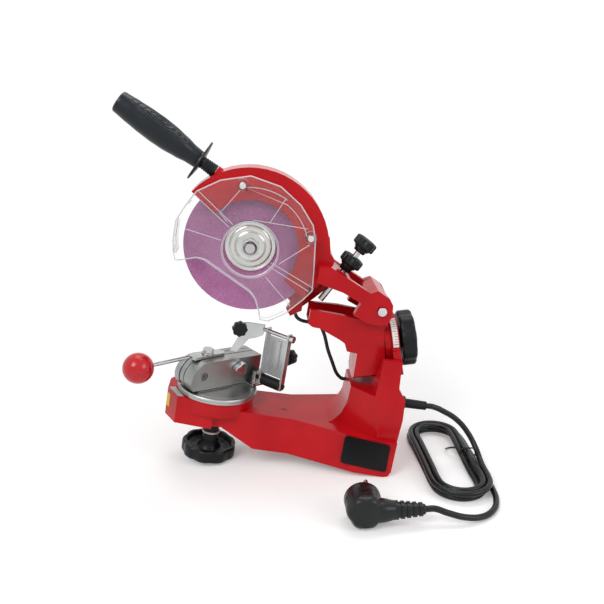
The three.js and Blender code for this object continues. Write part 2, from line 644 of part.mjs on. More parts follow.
// head: wheel housing with arm and fork
const wheelAt = (y) => vec(wheelCentre.x, y, wheelCentre.z);
function halfSector(radius, y0, y1, steps = 28) {
  const points = arcPoints(wheelCentre.x, wheelCentre.z, radius, cutAngle, cutAngle + 180, steps);
  return slabY(points, y0, y1);
}
const handleLine = vec(Math.cos(rad(handleAngle)), 0, Math.sin(rad(handleAngle)));
const handleRoot = vec(-104, 2, 302);
const screwLine = vec(Math.cos(rad(screwAngle)), 0, Math.sin(rad(screwAngle)));
const screwAt = (distance) => along(vec(screwFoot.x, 0, screwFoot.z), screwLine, distance);
const guardScrews = [vec(-73, 0, 296), vec(6, 0, 252)];
function wheelHousing() {
  const backY = housingBackY + housingBackThickness;
  const back = halfSector(housingRadius, housingBackY, backY);
  const hubPlate = rod(motorPadDiameter, wheelAt(housingBackY), wheelAt(backY), 48);
  const rim = cut(halfSector(housingRadius, housingFrontY, backY),
    rod((housingRadius - housingWall) * 2, wheelAt(housingFrontY - 1), wheelAt(backY + 1), 72));
  const front = cut(halfSector(housingRadius, housingFrontY, housingFrontY + housingWall),
    rod(housingLipRadius * 2, wheelAt(housingFrontY - 1), wheelAt(housingFrontY + housingWall + 1), 48));
  const lugShares = [[-0.01, 1.69], [-0.05, 1.60], [0.01, 1.52], [0.08, 1.57], [0.13, 1.60], [0.13, 1.97],
    [0.24, 2.09], [0, 2.20], [-0.30, 1.92]];
  const lug = slabY(outline(lugShares), housingBackY, backY);
  const rootShares = [[0.02, 2.66], [0.27, 2.54], [0.31, 2.37], [0.37, 2.30], [0.35, 2.20], [0.24, 2.05],
    [0.20, 1.98], [0.06, 1.88]];
  let root = asSolid(slabY(outline(rootShares), housingFrontY, forkOuter));
  root = cut(root, rod((housingRadius - housingWall) * 2, wheelAt(housingFrontY - 9),
    wheelAt(housingBackY), 72));
  const nearStrapShares = [[0.20, 2.24], [0.33, 2.25], [0.80, 2.03], [0.79, 1.87], [0.42, 2.03],
    [0.20, 2.08]];
  const farStrapShares = [[0.08, 2.24], [0.33, 2.25], [0.80, 2.03], [0.79, 1.87], [0.46, 1.94],
    [0.26, 1.72], [0.12, 1.58], [0.02, 1.58], [0.02, 1.90]];
  const straps = [slabY(outline(nearStrapShares), -forkOuter, -forkInner),
    slabY(outline(farStrapShares), forkInner, forkOuter),
    slabY(outline([[0.06, 1.90], [0.13, 1.97], [0.13, 1.60], [0.03, 1.60]]), housingBackY, forkOuter)];
  const bridgeShares = [[0.20, 2.24], [0.33, 2.25], [0.58, 2.115], [0.52, 1.99], [0.20, 2.06]];
  const bridge = slabY(outline(bridgeShares), -forkOuter, forkOuter);
  const forkShares = [[0.66, 1.755], [0.69, 1.85], [0.78, 2.02], [0.88, 2.07], [1.02, 2.00], [1.07, 1.93],
    [1.085, 1.80], [1.05, 1.71], [0.96, 1.68], [0.82, 1.69]];
  const cheeks = [-1, 1].map((side) => slabY(outline(forkShares), Math.min(side * forkInner,
    side * forkOuter), Math.max(side * forkInner, side * forkOuter)));
  const tieShares = [[0.76, 2.00], [0.88, 2.07], [1.00, 2.01], [0.99, 1.995], [0.82, 1.985]];
  const tie = slabY(outline(tieShares), -forkInner - 1, forkInner + 1);
  const boss = rod(handleBoss, along(handleRoot, handleLine, -handleBossLength), handleRoot, 20);
  const bossKeep = cut(boss, rod((housingRadius - housingWall) * 2, wheelAt(housingFrontY - 9),
    wheelAt(backY + 9), 72));
  let body = join(back, hubPlate, rim, front, lug, root, ...straps, bridge, ...cheeks, tie, bossKeep);
  body = cut(body, travelRoom());
  body = cut(body, rod(bearingDiameter + gap * 2, wheelAt(housingBackY - 1), wheelAt(backY + 1), 32));
  body = cut(body, rod(pinDiameter + gap * 2, vec(hinge.x, -castingModule, hinge.z),
    vec(hinge.x, castingModule, hinge.z), 24));
  body = cut(body, rod(screwDiameter + gap * 2, screwAt(-5), screwAt(screwLength), 20));
  body = cut(body, rod(handleStudDiameter + gap * 2,
    along(handleRoot, handleLine, -handleStudDepth - clearance * 5 / 3),
    along(handleRoot, handleLine, overrun), 16));
  guardScrews.forEach((at) => {
    body = cut(body, rod(guardScrewDiameter + gap * 2, vec(at.x, housingFrontY - 1, at.z),
      vec(at.x, housingFrontY + housingWall + 1, at.z), 14));
  });
  return body;
}
node(machine, 'wheel_housing', wheelHousing(), redPaint);

// clear guard in front of the wheel
function clearGuard() {
  const faceShares = [[0.17, 1.95], [0.15, 2.18], [0.11, 2.51], [0.06, 2.66], [-0.10, 2.85], [-0.34, 3.01],
    [-0.66, 3.07], [-0.96, 2.98], [-1.19, 2.83], [-1.29, 2.66], [-1.37, 2.49], [-1.375, 2.28],
    [-1.36, 2.17], [-1.33, 2.07], [-1.27, 2.08], [-1.12, 2.13], [-1.03, 2.12], [-0.50, 1.84],
    [-0.43, 1.77], [-0.37, 1.64], [-0.34, 1.54], [-0.25, 1.54], [-0.08, 1.65], [0.09, 1.84]];
  const face = outline(faceShares);
  const plate = slabY(face, guardFrontY, guardFrontY + guardThickness);
  const centre = new THREE.Vector2(-castingModule * 0.55, castingModule * 2.3);
  const inset = face.map((p) => p.clone().sub(centre).multiplyScalar(1 - guardThickness / 75).add(centre));
  const wallOuter = slabY(face, guardFrontY, 2);
  const wallInner = slabY(inset, guardFrontY - 1, 3);
  const wallShares = [[-1.60, 2.68], [-1.15, 2.68], [-1.15, 2.14], [-1.60, 2.14]];
  const wallArea = slabY(outline(wallShares), guardFrontY - 1, castingModule);
  const wall = common(cut(wallOuter, wallInner), wallArea);
  const ring = cut(rod(guardRingRadius * 2, wheelAt(guardFrontY - 2),
    wheelAt(guardFrontY + guardThickness), 40));
  let body = join(plate, wall, ring);
  body = cut(body, rod(guardRingRadius * 2 - 4, wheelAt(guardFrontY - 9), wheelAt(guardFrontY + 9), 40));
  guardScrews.forEach((at) => {
    const lug = rod(13, vec(at.x, guardFrontY, at.z), vec(at.x, housingFrontY - gap, at.z), 20);
    body = join(body, lug);
    body = cut(body, rod(guardScrewDiameter + gap * 2, vec(at.x, guardFrontY - 1, at.z),
      vec(at.x, housingFrontY + 1, at.z), 14));
  });
  return body;
}
node(machine, 'guard', clearGuard(), clear);
guardScrews.forEach((at, i) => {
  const shank = rod(guardScrewDiameter, vec(at.x, guardFrontY - gap - 1, at.z),
    vec(at.x, housingFrontY + housingWall, at.z), 14);
  const head = rod(guardScrewHead, vec(at.x, guardFrontY - gap, at.z), vec(at.x, guardFrontY - gap - 3.4,
    at.z), 18, guardScrewHead * 0.7);
  node(machine, `guard_screw_${'ab'[i]}`, join(shank, head), steel);
});

// wheel, flanges, nut and spindle
function grindingWheel() {
  const bore = wheelBore / 2;
  const half = wheelThickness / 2;
  const radius = wheelDiameter / 2;
  return turned([[bore, -half], [radius, -half], [radius, half], [bore, half], [bore, -half]],
    wheelAt(wheelCentre.y), far, 64);
}
node(machine, 'grinding_wheel', grindingWheel(), stone);
const wheelFront = wheelCentre.y - wheelThickness / 2;
const wheelBack = wheelCentre.y + wheelThickness / 2;
function outerFlange() {
  const radius = flangeDiameter / 2;
  const bore = spindleDiameter / 2 + gap;
  return turned([[bore, 0], [radius, 0], [radius, 1.4], [radius * 0.9, 3.4], [radius * 0.55, 2.6],
    [radius * 0.48, flangeThickness], [bore, flangeThickness], [bore, 0]], wheelAt(wheelFront - gap),
  vec(0, -1, 0), 32);
}
node(machine, 'flange_outer', outerFlange(), castAluminium);
function innerFlange() {
  const radius = flangeDiameter / 2;
  const bore = spindleDiameter / 2 + gap;
  const spigot = wheelBore / 2 - gap;
  return turned([[bore, -wheelThickness], [spigot, -wheelThickness], [spigot, 0], [radius, 0], [radius, 3],
    [bore, 3], [bore, -wheelThickness]], wheelAt(wheelBack + gap), far, 28);
}
node(machine, 'flange_inner', innerFlange(), castAluminium);
const nutFace = wheelFront - gap * 2 - flangeThickness;
function wheelNut() {
  const hex = rod(nutDiameter, wheelAt(nutFace), wheelAt(nutFace - nutHeight * 0.6), 6);
  const dome = rod(nutDiameter * 0.8, wheelAt(nutFace - nutHeight * 0.5), wheelAt(nutFace - nutHeight), 24,
    nutDiameter * 0.5);
  return cut(join(hex, dome), rod(spindleDiameter + gap * 2, wheelAt(nutFace + 1),
    wheelAt(nutFace - nutHeight * 0.55), 24));
}
node(machine, 'wheel_nut', wheelNut(), zinc);
const motorStart = housingBackY + housingBackThickness + gap;
const motorEnd = motorStart + motorLength;
const spindleEnd = motorEnd + bearingInset * 3;
node(machine, 'spindle', rod(spindleDiameter, wheelAt(nutFace - nutHeight * 0.5), wheelAt(spindleEnd), 24),
  steel);

// motor
function motorShell() {
  const outer = motorDiameter / 2;
  const inner = outer - motorWall;
  const lip = bearingDiameter / 2 + gap;
  let shell = asSolid(turned([[lip, 0], [outer, 0], [outer, motorLength], [inner, motorLength],
    [inner, motorWall], [lip, motorWall], [lip, 0]], wheelAt(motorStart), far, 32));
  for (let i = 0; i < ventCount; i += 1) {
    const z = wheelCentre.z + (i - (ventCount - 1) / 2) * ventPitch;
    shell = cut(shell, box(wheelCentre.x - outer - overrun, wheelCentre.x - outer + motorWall * 17 / 7,
      motorStart + ventStart, motorStart + ventStart + ventLength, z - ventHeight / 2, z + ventHeight / 2));
  }
  return shell;
}
node(machine, 'motor_shell', motorShell(), redPaint);
function motorCap() {
  const outer = motorDiameter / 2;
  const pocket = bearingDiameter / 2 + gap;
  const depth = motorCapLength;
  let cap = asSolid(turned([[0, depth], [0, depth - capFloor], [pocket, depth - capFloor], [pocket, 0],
    [outer - motorWall * 9 / 7, 0], [outer, 0], [outer, depth * 0.5], [outer * 0.86, depth],
    [0, depth]], wheelAt(motorEnd + gap), far, 32));
  const ring = outer * 0.62;
  for (let i = 0; i < capHoleCount; i += 1) {
    const angle = (Math.PI * 2 * i) / capHoleCount;
    const at = vec(wheelCentre.x + Math.cos(angle) * ring, motorEnd + depth - capHoleDepth,
      wheelCentre.z + Math.sin(angle) * ring);
    cap = cut(cap, rod(capHoleDiameter, at, along(at, far, capHoleDepth + overrun), 8));
  }
  return cap;
}
node(machine, 'motor_cap', motorCap(), blackPlastic);
function tube(inner, outer, y0, y1, sides = 24) {
  return turned([[inner / 2, 0], [outer / 2, 0], [outer / 2, y1 - y0], [inner / 2, y1 - y0],
    [inner / 2, 0]], wheelAt(y0), far, sides);
}
const shaftBore = spindleDiameter + gap * 2;
const bearingFront = motorStart - bearingReach;
const bearingRear = motorEnd + gap + bearingInset;
const statorFoot = motorStart + statorStart;
const statorOuter = motorDiameter - motorWall * 2 - gap * 2;
node(machine, 'bearing_front', tube(shaftBore, bearingDiameter, bearingFront, bearingFront + bearingWidth),
  steel);
node(machine, 'bearing_rear', tube(shaftBore, bearingDiameter, bearingRear, bearingRear + bearingWidth),
  steel);
node(machine, 'motor_stator', tube(statorInner, statorOuter, statorFoot, statorFoot + statorLength),
  copper);
node(machine, 'motor_rotor', tube(shaftBore, rotorDiameter, statorFoot - rotorOverhang,
  statorFoot + statorLength + rotorOverhang), motorGrey);

// switch box on the rear of the motor
const switchCentre = vec(wheelCentre.x + motorDiameter / 2 + gap + switchBox.x / 2,
  motorStart + switchPlace.along, wheelCentre.z + switchPlace.lift);
function switchHousing() {
  const { x, y, z } = switchBox;
  const c = switchCentre;
  const seat = z / 6; // the box reaches in as far as the motor's round needs
  const shell = box(c.x - x / 2 - seat, c.x + x / 2, c.y - y / 2, c.y + y / 2, c.z - z / 2, c.z + z / 2);
  const round = rod(motorDiameter + gap * 2, wheelAt(motorStart - overrun), wheelAt(motorEnd + overrun),
    72);
  const well = box(c.x - switchWell.x / 2, c.x + switchWell.x / 2, c.y - switchWell.y / 2,
    c.y + switchWell.y / 2, c.z + z / 2 - switchWell.z, c.z + z / 2 + overrun);
  return cut(shell, round, well);
}
node(machine, 'switch_box', switchHousing(), blackPlastic);
function switchRocker() {
  const c = switchCentre;
  const top = c.z + switchBox.z / 2;
  const end = rocker.length / 2;
  const points = [[-end, top - rocker.sink], [end, top - rocker.sink], [end, top + rocker.high],
    [0, top - rocker.dip], [-end, top + rocker.low]].map(([y, z]) => new THREE.Vector2(y, z));
  const key = slabZ(points, 0, rocker.width).rotateX(Math.PI / 2).rotateZ(Math.PI / 2);
  return key.translate(c.x - rocker.width / 2, c.y, 0);
}
node(machine, 'switch_rocker', switchRocker(), ballRed);

// handle, its grip swelling towards the middle of the palm
const gripShares = [[0.72, 7.5 / 99.5], [0.86, 19.5 / 99.5], [1, 43.5 / 99.5], [1, 59.5 / 99.5],
  [0.93, 79.5 / 99.5]];
function handleGrip() {
  const r = handleDiameter / 2;
  const guardFoot = handleStart + handleNeck;
  const gripFoot = guardFoot + handleGuard * 1.3;
  const rim = handleGuardDiameter / 2;
  const edge = handleGuard / 5;
  const profile = [[0, handleStart], [handleStudDiameter * 0.8, handleStart],
    [handleStudDiameter * 0.9, guardFoot], [rim - edge, guardFoot + edge], [rim, guardFoot + edge * 3],
    [rim - edge, guardFoot + edge * 5], [r * 0.70, gripFoot]];
  const gripLength = handleLength - gripFoot;
  gripShares.forEach(([radius, length]) => profile.push([r * radius, gripFoot + gripLength * length]));
  profile.push([r * 0.80, handleLength - handleEndRound], [r * 0.66, handleLength], [0, handleLength]);
  const grip = turned(profile, handleRoot, handleLine, 18);
  return cut(grip, rod(handleStudDiameter + gap * 2, handleRoot, along(handleRoot, handleLine, handleBore),
    16));
}
node(machine, 'handle_grip', handleGrip(), blackPlastic);
node(machine, 'handle_stud', rod(handleStudDiameter, along(handleRoot, handleLine, -handleStudDepth),
  along(handleRoot, handleLine, handleBore - clearance * 5 / 3), 16), zinc);

// hinge pin, clip and return spring
function hingePin() {
  const foot = vec(hinge.x, forkOuter + gap, hinge.z);
  const shank = rod(pinDiameter, vec(hinge.x, -pinLength / 2, hinge.z), along(foot, far, 1), 24);
  return join(shank, rod(pinDiameter * 1.6, foot, along(foot, far, pinHead), 24, pinDiameter * 1.3));
}
node(machine, 'hinge_pin', hingePin(), steel);
function returnSpring() {
  const points = [];
  const perTurn = 10;
  const springRadius = ((pinDiameter + springWire) / 2 + gap) / Math.cos(Math.PI / perTurn);
  const width = (earInner - 3) * 2;
  for (let i = 0; i <= springTurns * perTurn; i += 1) {
    const angle = (2 * Math.PI * i) / perTurn;
    points.push(vec(hinge.x + springRadius * Math.cos(angle),
      -width / 2 + (width * i) / (springTurns * perTurn), hinge.z + springRadius * Math.sin(angle)));
  }
  const curve = new THREE.CatmullRomCurve3(points);
  const section = new THREE.Shape(arcPoints(0, 0, springWire / 2, 0, 288, 4));
  return new THREE.ExtrudeGeometry(section, { steps: springTurns * perTurn, extrudePath: curve,
    bevelEnabled: false });
}
node(machine, 'return_spring', returnSpring(), steel);

// depth stop screw with its two knobs
const depthKnobFoot = screwLength - depthKnobHeight - 2;
function depthScrew() {
  return rod(screwDiameter, screwAt(0), screwAt(depthKnobFoot + 6), 20);
}
node(machine, 'depth_screw', depthScrew(), zinc);
function depthKnob(from, hubLength, blind) {
  const hub = rod(depthKnobDiameter * 0.62, screwAt(from - hubLength), screwAt(from + 1), 20);
  const head = lobedKnob(depthKnobDiameter, depthKnobHeight, 6, 0.1, screwAt(from), screwLine, 5);
  const bore = rod(screwDiameter + gap * 2, screwAt(from - hubLength - 1), screwAt(from + blind), 20);
  return cut(join(hub, head), bore);
}
node(machine, 'depth_knob', depthKnob(depthKnobFoot, 6, 6 + gap), blackPlastic);
const lockFoot = 51;
node(machine, 'depth_lock_knob', depthKnob(lockFoot, 8, depthKnobHeight + 1), blackPlastic);

// mains lead
const world = new THREE.Group();
const glandStart = vec(castingModule * 1.2, glandAxis.y, glandAxis.z);
const rearWall = castingModule * 1.39;
const glandReach = 30; // from the rear wall to the end of its sleeve
const glandCollar = 4;
function gland() {
  const inner = cordDiameter / 2 + gap;
  const outer = cordDiameter * 0.9 - gap;
  const collar = cordDiameter * 1.25;
  const wall = rearWall - glandStart.x;
  return turned([[inner, 0], [outer, 0], [outer, wall + gap], [collar, wall + gap],
    [collar, wall + glandCollar], [outer * 0.95, wall + glandCollar * 1.5],
    [inner + glandCollar * 0.35, wall + glandReach], [inner, wall + glandReach], [inner, 0]],
  glandStart, vec(1, 0, 0), 20);
}
node(machine, 'cord_gland', gland(), blackPlastic);

// the lead leaves the gland, drops on to the hank and ends in an angled plug, all in bench coordinates
const leadStart = vec(rearWall + glandReach + gap, glandAxis.y, glandAxis.z).applyAxisAngle(far, pitch)
  .add(vec(0, 0, standHeight));
const leadLine = vec(Math.cos(pitch), 0, -Math.sin(pitch));
const hankRadius = 33;
const hankNear = vec(208, -86, 0);
const hankFar = vec(205, 20, 0);
const hankTurns = 4;
const hankStep = cordDiameter + 0.6;
const lowLayer = cordDiameter / 2 + 0.2;
const highLayer = lowLayer + hankStep;
const stepsPerTurn = 24;
// each turn is a third of a turn round the near end, a run, a third round the far end and a run back;
// the spiral turns outwards again, and drops a layer, along the run in its middle
function hankPoint(turn) {
  const foldShare = 1 / 3;
  const runShare = 1 / 6;
  const reverse = runShare / 2;
  const middle = hankTurns / 2 - reverse;
  const off = Math.abs(turn - middle);
  const depth = off > reverse ? off : reverse / 2 + (off * off) / (2 * reverse);
  const radius = hankRadius - hankStep * (middle - depth);
  const climb = THREE.MathUtils.smoothstep(turn, middle - reverse, middle + reverse);
  const height = highLayer + (lowLayer - highLayer) * climb;
  const share = turn - Math.floor(turn);
  const fold = (centre, angle) => vec(centre.x + radius * Math.cos(angle),
    centre.y + radius * Math.sin(angle), height);
  const run = (from, to, part, side) => from.clone().lerp(to, part).add(vec(side * radius, 0, height));
  if (share < foldShare) return fold(hankNear, (-Math.PI * share) / foldShare);
  if (share < foldShare + runShare) return run(hankNear, hankFar, (share - foldShare) / runShare, -1);
  if (share < 1 - runShare) return fold(hankFar, Math.PI * (1 - (share - foldShare - runShare) / foldShare));
  return run(hankFar, hankNear, (share - 1 + runShare) / runShare, 1);
}
// evenly stepped tube through given points, sections square to the path
function tubeThrough(points, diameter, sides) {
  const positions = [];
  const index = [];
  const last = points.length - 1;
  points.forEach((point, i) => {
    const before = points[Math.max(0, i - 1)];
    const after = points[Math.min(last, i + 1)];
    const line = after.clone().sub(before).normalize();
    const across = new THREE.Vector3().crossVectors(up, line).normalize();
    const lift = new THREE.Vector3().crossVectors(line, across);
    for (let k = 0; k < sides; k += 1) {
      const angle = (2 * Math.PI * (k + 0.5)) / sides;
      const at = point.clone().addScaledVector(across, (Math.cos(angle) * diameter) / 2)
        .addScaledVector(lift, (Math.sin(angle) * diameter) / 2);
      positions.push(at.x, at.y, at.z);
    }
  });
  for (let i = 0; i < last; i += 1) {
    for (let k = 0; k < sides; k += 1) {
      const next = (k + 1) % sides;
      const [a, b, c, d] = [i * sides + k, i * sides + next, (i + 1) * sides + next, (i + 1) * sides + k];
      index.push(a, b, c, a, c, d);
    }
  }
  for (let k = 1; k < sides - 1; k += 1) {
    index.push(0, k + 1, k);
    index.push(last * sides, last * sides + k, last * sides + k + 1);
  }
  const geometry = new THREE.BufferGeometry();
  geometry.setAttribute('position', new THREE.BufferAttribute(new Float32Array(positions), 3));
  geometry.setIndex(index);
  return geometry;
}
function hankPoints() {
  const count = hankTurns * stepsPerTurn;
  const points = [];
  for (let i = 0; i <= count; i += 1) points.push(hankPoint((hankTurns * i) / count));
  const tail = points[count].clone().add(vec(0, -cordDiameter, 0));
  const head = points[0].clone().add(vec(0, cordDiameter, 0));
  return [head, ...points, tail];
}
const hankRoute = hankPoints();
function leastGap(points, diameter) {
  let least = Infinity;
  const reach = stepsPerTurn / 2;
  for (let i = 0; i < points.length; i += 1) {
    for (let j = i + reach; j < points.length - 1; j += 1) {
      const piece = new THREE.Line3(points[j], points[j + 1]);
      const nearest = piece.closestPointToPoint(points[i], true, new THREE.Vector3());
      least = Math.min(least, nearest.distanceTo(points[i]));
    }
  }
  return least - diameter;
}
console.log(`least gap of the hank to itself ${leastGap(hankRoute, cordDiameter).toFixed(2)} mm`);
node(world, 'cord_hank', tubeThrough(hankRoute, cordDiameter, 6), cordRubber);
const leadEnd = hankRoute[0].clone().add(vec(0, gap, 0));
const leadRoute = [leadStart, along(leadStart, leadLine, 8), vec(203, -28, 63), vec(218, -26, 52),
  vec(231, -28, 37), vec(239, -38, 22), vec(241, -52, 13.5), vec(241.1, -64, highLayer + 0.6),
  leadEnd.clone().add(vec(0, 8, 0)), leadEnd];
function freeTube(route, steps) {
  const curve = new THREE.CatmullRomCurve3(route, false, 'centripetal');
  return tubeThrough(curve.getSpacedPoints(steps), cordDiameter, 8);
}
node(world, 'cord_lead', freeTube(leadRoute, 12), cordRubber);
const plugAxis = { y: -152, z: 17 };
const plugEntryX = 156;
const tailStart = hankRoute[hankRoute.length - 1].clone().add(vec(0, -gap, 0));
const tailRoute = [tailStart, tailStart.clone().add(vec(0, -9, 0)), vec(239, -120, 3.6), vec(230, -138, 3.8),
  vec(215, -150, 4.6), vec(196, -155, 8), vec(178, -154, 13), vec(plugEntryX + 9, plugAxis.y, plugAxis.z),
  vec(plugEntryX + gap, plugAxis.y, plugAxis.z)];
node(world, 'cord_tail', freeTube(tailRoute, 12), cordRubber);

// angled plug lying on its side with the pins to the far side
const plugCentre = { x: 94, y: -148, z: 19 };
const plugFace = { diameter: 38, depth: 33 };
const reliefRibs = 5;
function plugBody() {
  const round = rod(plugFace.diameter, vec(plugCentre.x, plugCentre.y - plugFace.depth / 2, plugCentre.z),
    vec(plugCentre.x, plugCentre.y + plugFace.depth / 2, plugCentre.z), 32);
  const neckEnd = plugCentre.x + 30;
  const neck = rod(26, vec(plugCentre.x + 4, plugAxis.y, plugAxis.z), vec(neckEnd, plugAxis.y, plugAxis.z),
    20, 20);
  const length = plugEntryX - neckEnd + 1;
  const profile = [[0, 0]];
  for (let i = 0; i < reliefRibs; i += 1) {
    const radius = 9.6 - i * 0.7;
    const x = (share) => (length * (i + share)) / reliefRibs;
    profile.push([radius, x(0)], [radius, x(0.62)], [radius - 1.8, x(0.68)], [radius - 1.8, x(0.96)]);
  }
  profile.push([0, length]);
  let body = join(round, neck, turned(profile, vec(neckEnd - 1, plugAxis.y, plugAxis.z), rear, 12));
  plugPins().forEach((at) => {
    body = cut(body, rod(4.8 + gap * 2, at, at.clone().add(vec(0, -8, 0)), 14));
  });
  return body;
}
function plugPins() {
  const faceY = plugCentre.y + plugFace.depth / 2 + gap;
  return [-1, 1].map((side) => vec(plugCentre.x + side * 6, faceY, plugCentre.z + side * 7.5));
}
node(world, 'plug_body', plugBody(), blackPlastic);
plugPins().forEach((at, i) => {
  node(world, `plug_pin_${'ab'[i]}`, rod(4.8, at.clone().add(vec(0, -7, 0)), at.clone().add(vec(0, 19, 0)),
    14), zinc);
});
// motor cable: from the arm to a clip under the nose of the bracket, then down into the column
const clipAt = vec(30, 12, 146.8);
function cableClip() {
  const top = castingModule * 1.51 - gap;
  const block = box(clipAt.x - 3.5, clipAt.x + 3.5, clipAt.y - 4.5, clipAt.y + 4.5, clipAt.z - 3.4, top);
  return cut(block, rod(cableDiameter + clearance * 2, vec(clipAt.x - 9, clipAt.y, clipAt.z),
    vec(clipAt.x + 9, clipAt.y, clipAt.z), 12));
}
node(machine, 'cable_clip', cableClip(), blackPlastic);
const upperRoute = [vec(7, 11.5, 154.2), vec(9.5, 11.6, 150.4), vec(15, 11.8, 147.6), vec(22, 12, 146.8),
  along(clipAt, rear, -gap)];
const lowerRoute = [along(clipAt, rear, gap), along(clipAt, rear,
  5), vec(39, 12.3, 143), vec(45, 12.6, 133), vec(52, 13, 116), vec(60, 13.5, 101), vec(67, 14, 88.5),
  vec(74, 14, 82.4), vec(cableEntry.x, cableEntry.y, cableEntry.z), vec(cableEntry.x + 5, cableEntry.y,
  cableEntry.z)];
function cable(route, steps) {
  const curve = new THREE.CatmullRomCurve3(route, false, 'centripetal');
  return tubeThrough(curve.getSpacedPoints(steps), cableDiameter, 8);
}
node(machine, 'motor_cable_upper', cable(upperRoute, 8), blackPlastic);
node(machine, 'motor_cable_lower', cable(lowerRoute, 14), blackPlastic);

const group = new THREE.Group();
group.add(machine);
group.add(world);
const middle = new THREE.Box3().setFromObject(machine, true).getCenter(new THREE.Vector3());
group.position.set(-middle.x, -middle.y, 0);

export default group;
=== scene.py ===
"""Electric chainsaw sharpener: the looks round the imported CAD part.

Lengths are in millimetres in the frames below, whose matrices turn them into the scene's metres.
"""

import json
import math

import bmesh
import bpy
from mathutils import Matrix, Vector

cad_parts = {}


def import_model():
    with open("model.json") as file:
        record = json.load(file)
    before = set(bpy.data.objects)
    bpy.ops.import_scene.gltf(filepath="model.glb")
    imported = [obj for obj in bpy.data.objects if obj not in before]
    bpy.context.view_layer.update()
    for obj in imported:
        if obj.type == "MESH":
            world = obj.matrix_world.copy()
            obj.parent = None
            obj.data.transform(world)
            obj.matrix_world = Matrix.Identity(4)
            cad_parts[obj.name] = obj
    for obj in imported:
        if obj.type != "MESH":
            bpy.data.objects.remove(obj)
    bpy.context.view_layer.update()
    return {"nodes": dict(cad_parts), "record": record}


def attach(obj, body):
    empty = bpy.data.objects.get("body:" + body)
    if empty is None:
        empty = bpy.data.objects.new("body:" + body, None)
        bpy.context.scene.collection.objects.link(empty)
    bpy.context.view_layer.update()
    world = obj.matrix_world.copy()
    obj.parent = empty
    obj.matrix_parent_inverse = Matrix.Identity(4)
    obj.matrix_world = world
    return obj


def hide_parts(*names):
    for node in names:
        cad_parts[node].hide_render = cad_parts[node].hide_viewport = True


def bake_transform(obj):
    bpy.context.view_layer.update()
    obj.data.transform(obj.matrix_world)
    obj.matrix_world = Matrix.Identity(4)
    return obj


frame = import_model()
nodes = frame["nodes"]


# frames of the part, as in its source: the bench, and the machine that leans forward on its rear edge
MM = Matrix.Scale(0.001, 4)
CENTRE = Vector((-0.012165, -0.014803, 0.0))
PITCH = math.radians(9.4347)
STAND = 0.021146
TABLE_X = -70
bench = Matrix.Translation(CENTRE) @ MM
machine = Matrix.Translation(CENTRE + Vector((0, 0, STAND))) @ Matrix.Rotation(PITCH, 4, "Y") @ MM


def turned_frame(x, y, z, degrees):
    return machine @ Matrix.Translation((x, y, z)) @ Matrix.Rotation(math.radians(degrees), 4, "Z")


vice = turned_frame(TABLE_X, 0, 60.8, 39)
stop = turned_frame(-7, 2, 0, -35)
pawl = turned_frame(-28.094, 13.718, 0, 8)


# materials
class Shader:
    """One Principled material and the sockets that its patterns go into."""

    def __init__(self, name, color, roughness, metallic=0.0, **sockets):
        self.material = bpy.data.materials.new(name)
        self.material.use_nodes = True
        self.tree = self.material.node_tree
        self.main = self.tree.nodes["Principled BSDF"]
        self.set("Base Color", (*color, 1.0))
        self.set("Roughness", roughness)
        self.set("Metallic", metallic)
        for socket, value in sockets.items():
            self.set(socket.replace("_", " "), value)
        self.place = self.tree.nodes.new("ShaderNodeTexCoord").outputs["Object"]

    def set(self, socket, value):
        self.main.inputs[socket].default_value = value

    def link(self, source, target):
        self.tree.links.new(source, target)

    def noise(self, scale, detail=3.0, rough=0.5, stretch=(1, 1, 1)):
        mapping = self.tree.nodes.new("ShaderNodeMapping")
        mapping.inputs["Scale"].default_value = stretch
        self.link(self.place, mapping.inputs["Vector"])
        texture = self.tree.nodes.new("ShaderNodeTexNoise")
        texture.inputs["Scale"].default_value = scale
        texture.inputs["Detail"].default_value = detail
        texture.inputs["Roughness"].default_value = rough
        self.link(mapping.outputs["Vector"], texture.inputs["Vector"])
        return texture.outputs["Fac"]

    def cells(self, scale):
        texture = self.tree.nodes.new("ShaderNodeTexVoronoi")
        texture.inputs["Scale"].default_value = scale
        self.link(self.place, texture.inputs["Vector"])
        return texture

    def spread(self, fac, low, high, start=0.3, end=0.7):
        """fac from start to end becomes low to high."""
        node = self.tree.nodes.new("ShaderNodeMapRange")
        node.inputs["From Min"].default_value = start
        node.inputs["From Max"].default_value = end
        node.inputs["To Min"].default_value = low
        node.inputs["To Max"].default_value = high
        self.link(fac, node.inputs["Value"])
        return node.outputs["Result"]

    def blend(self, fac, first, second):
        node = self.tree.nodes.new("ShaderNodeMix")
        node.data_type = "RGBA"
        self.link(fac, node.inputs["Factor"])
        for socket, value in ((node.inputs["A"], first), (node.inputs["B"], second)):
            if isinstance(value, tuple):
                socket.default_value = (*value, 1.0)
            else:
                self.link(value, socket)
        return node.outputs["Result"]

    def color(self, source):
        self.link(source, self.main.inputs["Base Color"])

    def rough(self, source):
        self.link(source, self.main.inputs["Roughness"])

    def bump(self, height, strength, depth):
        node = self.tree.nodes.new("ShaderNodeBump")
        node.inputs["Strength"].default_value = strength
        node.inputs["Distance"].default_value = depth
        self.link(height, node.inputs["Height"])
        normal = self.main.inputs["Normal"]
        if normal.is_linked:
            self.link(normal.links[0].from_socket, node.inputs["Normal"])
        self.link(node.outputs["Normal"], normal)


def red_paint():
    s = Shader("red_paint", (0.56, 0.008, 0.014), 0.2, IOR=1.27)
    wide = s.noise(18, 2)
    s.color(s.blend(s.spread(wide, 0, 1), (0.46, 0.004, 0.009), (0.58, 0.008, 0.013)))
    s.rough(s.spread(s.noise(60, 4), 0.13, 0.24))
    s.bump(s.noise(90, 2), 0.10, 0.0008)
    s.bump(s.noise(420, 1), 0.08, 0.0003)
    return s.material


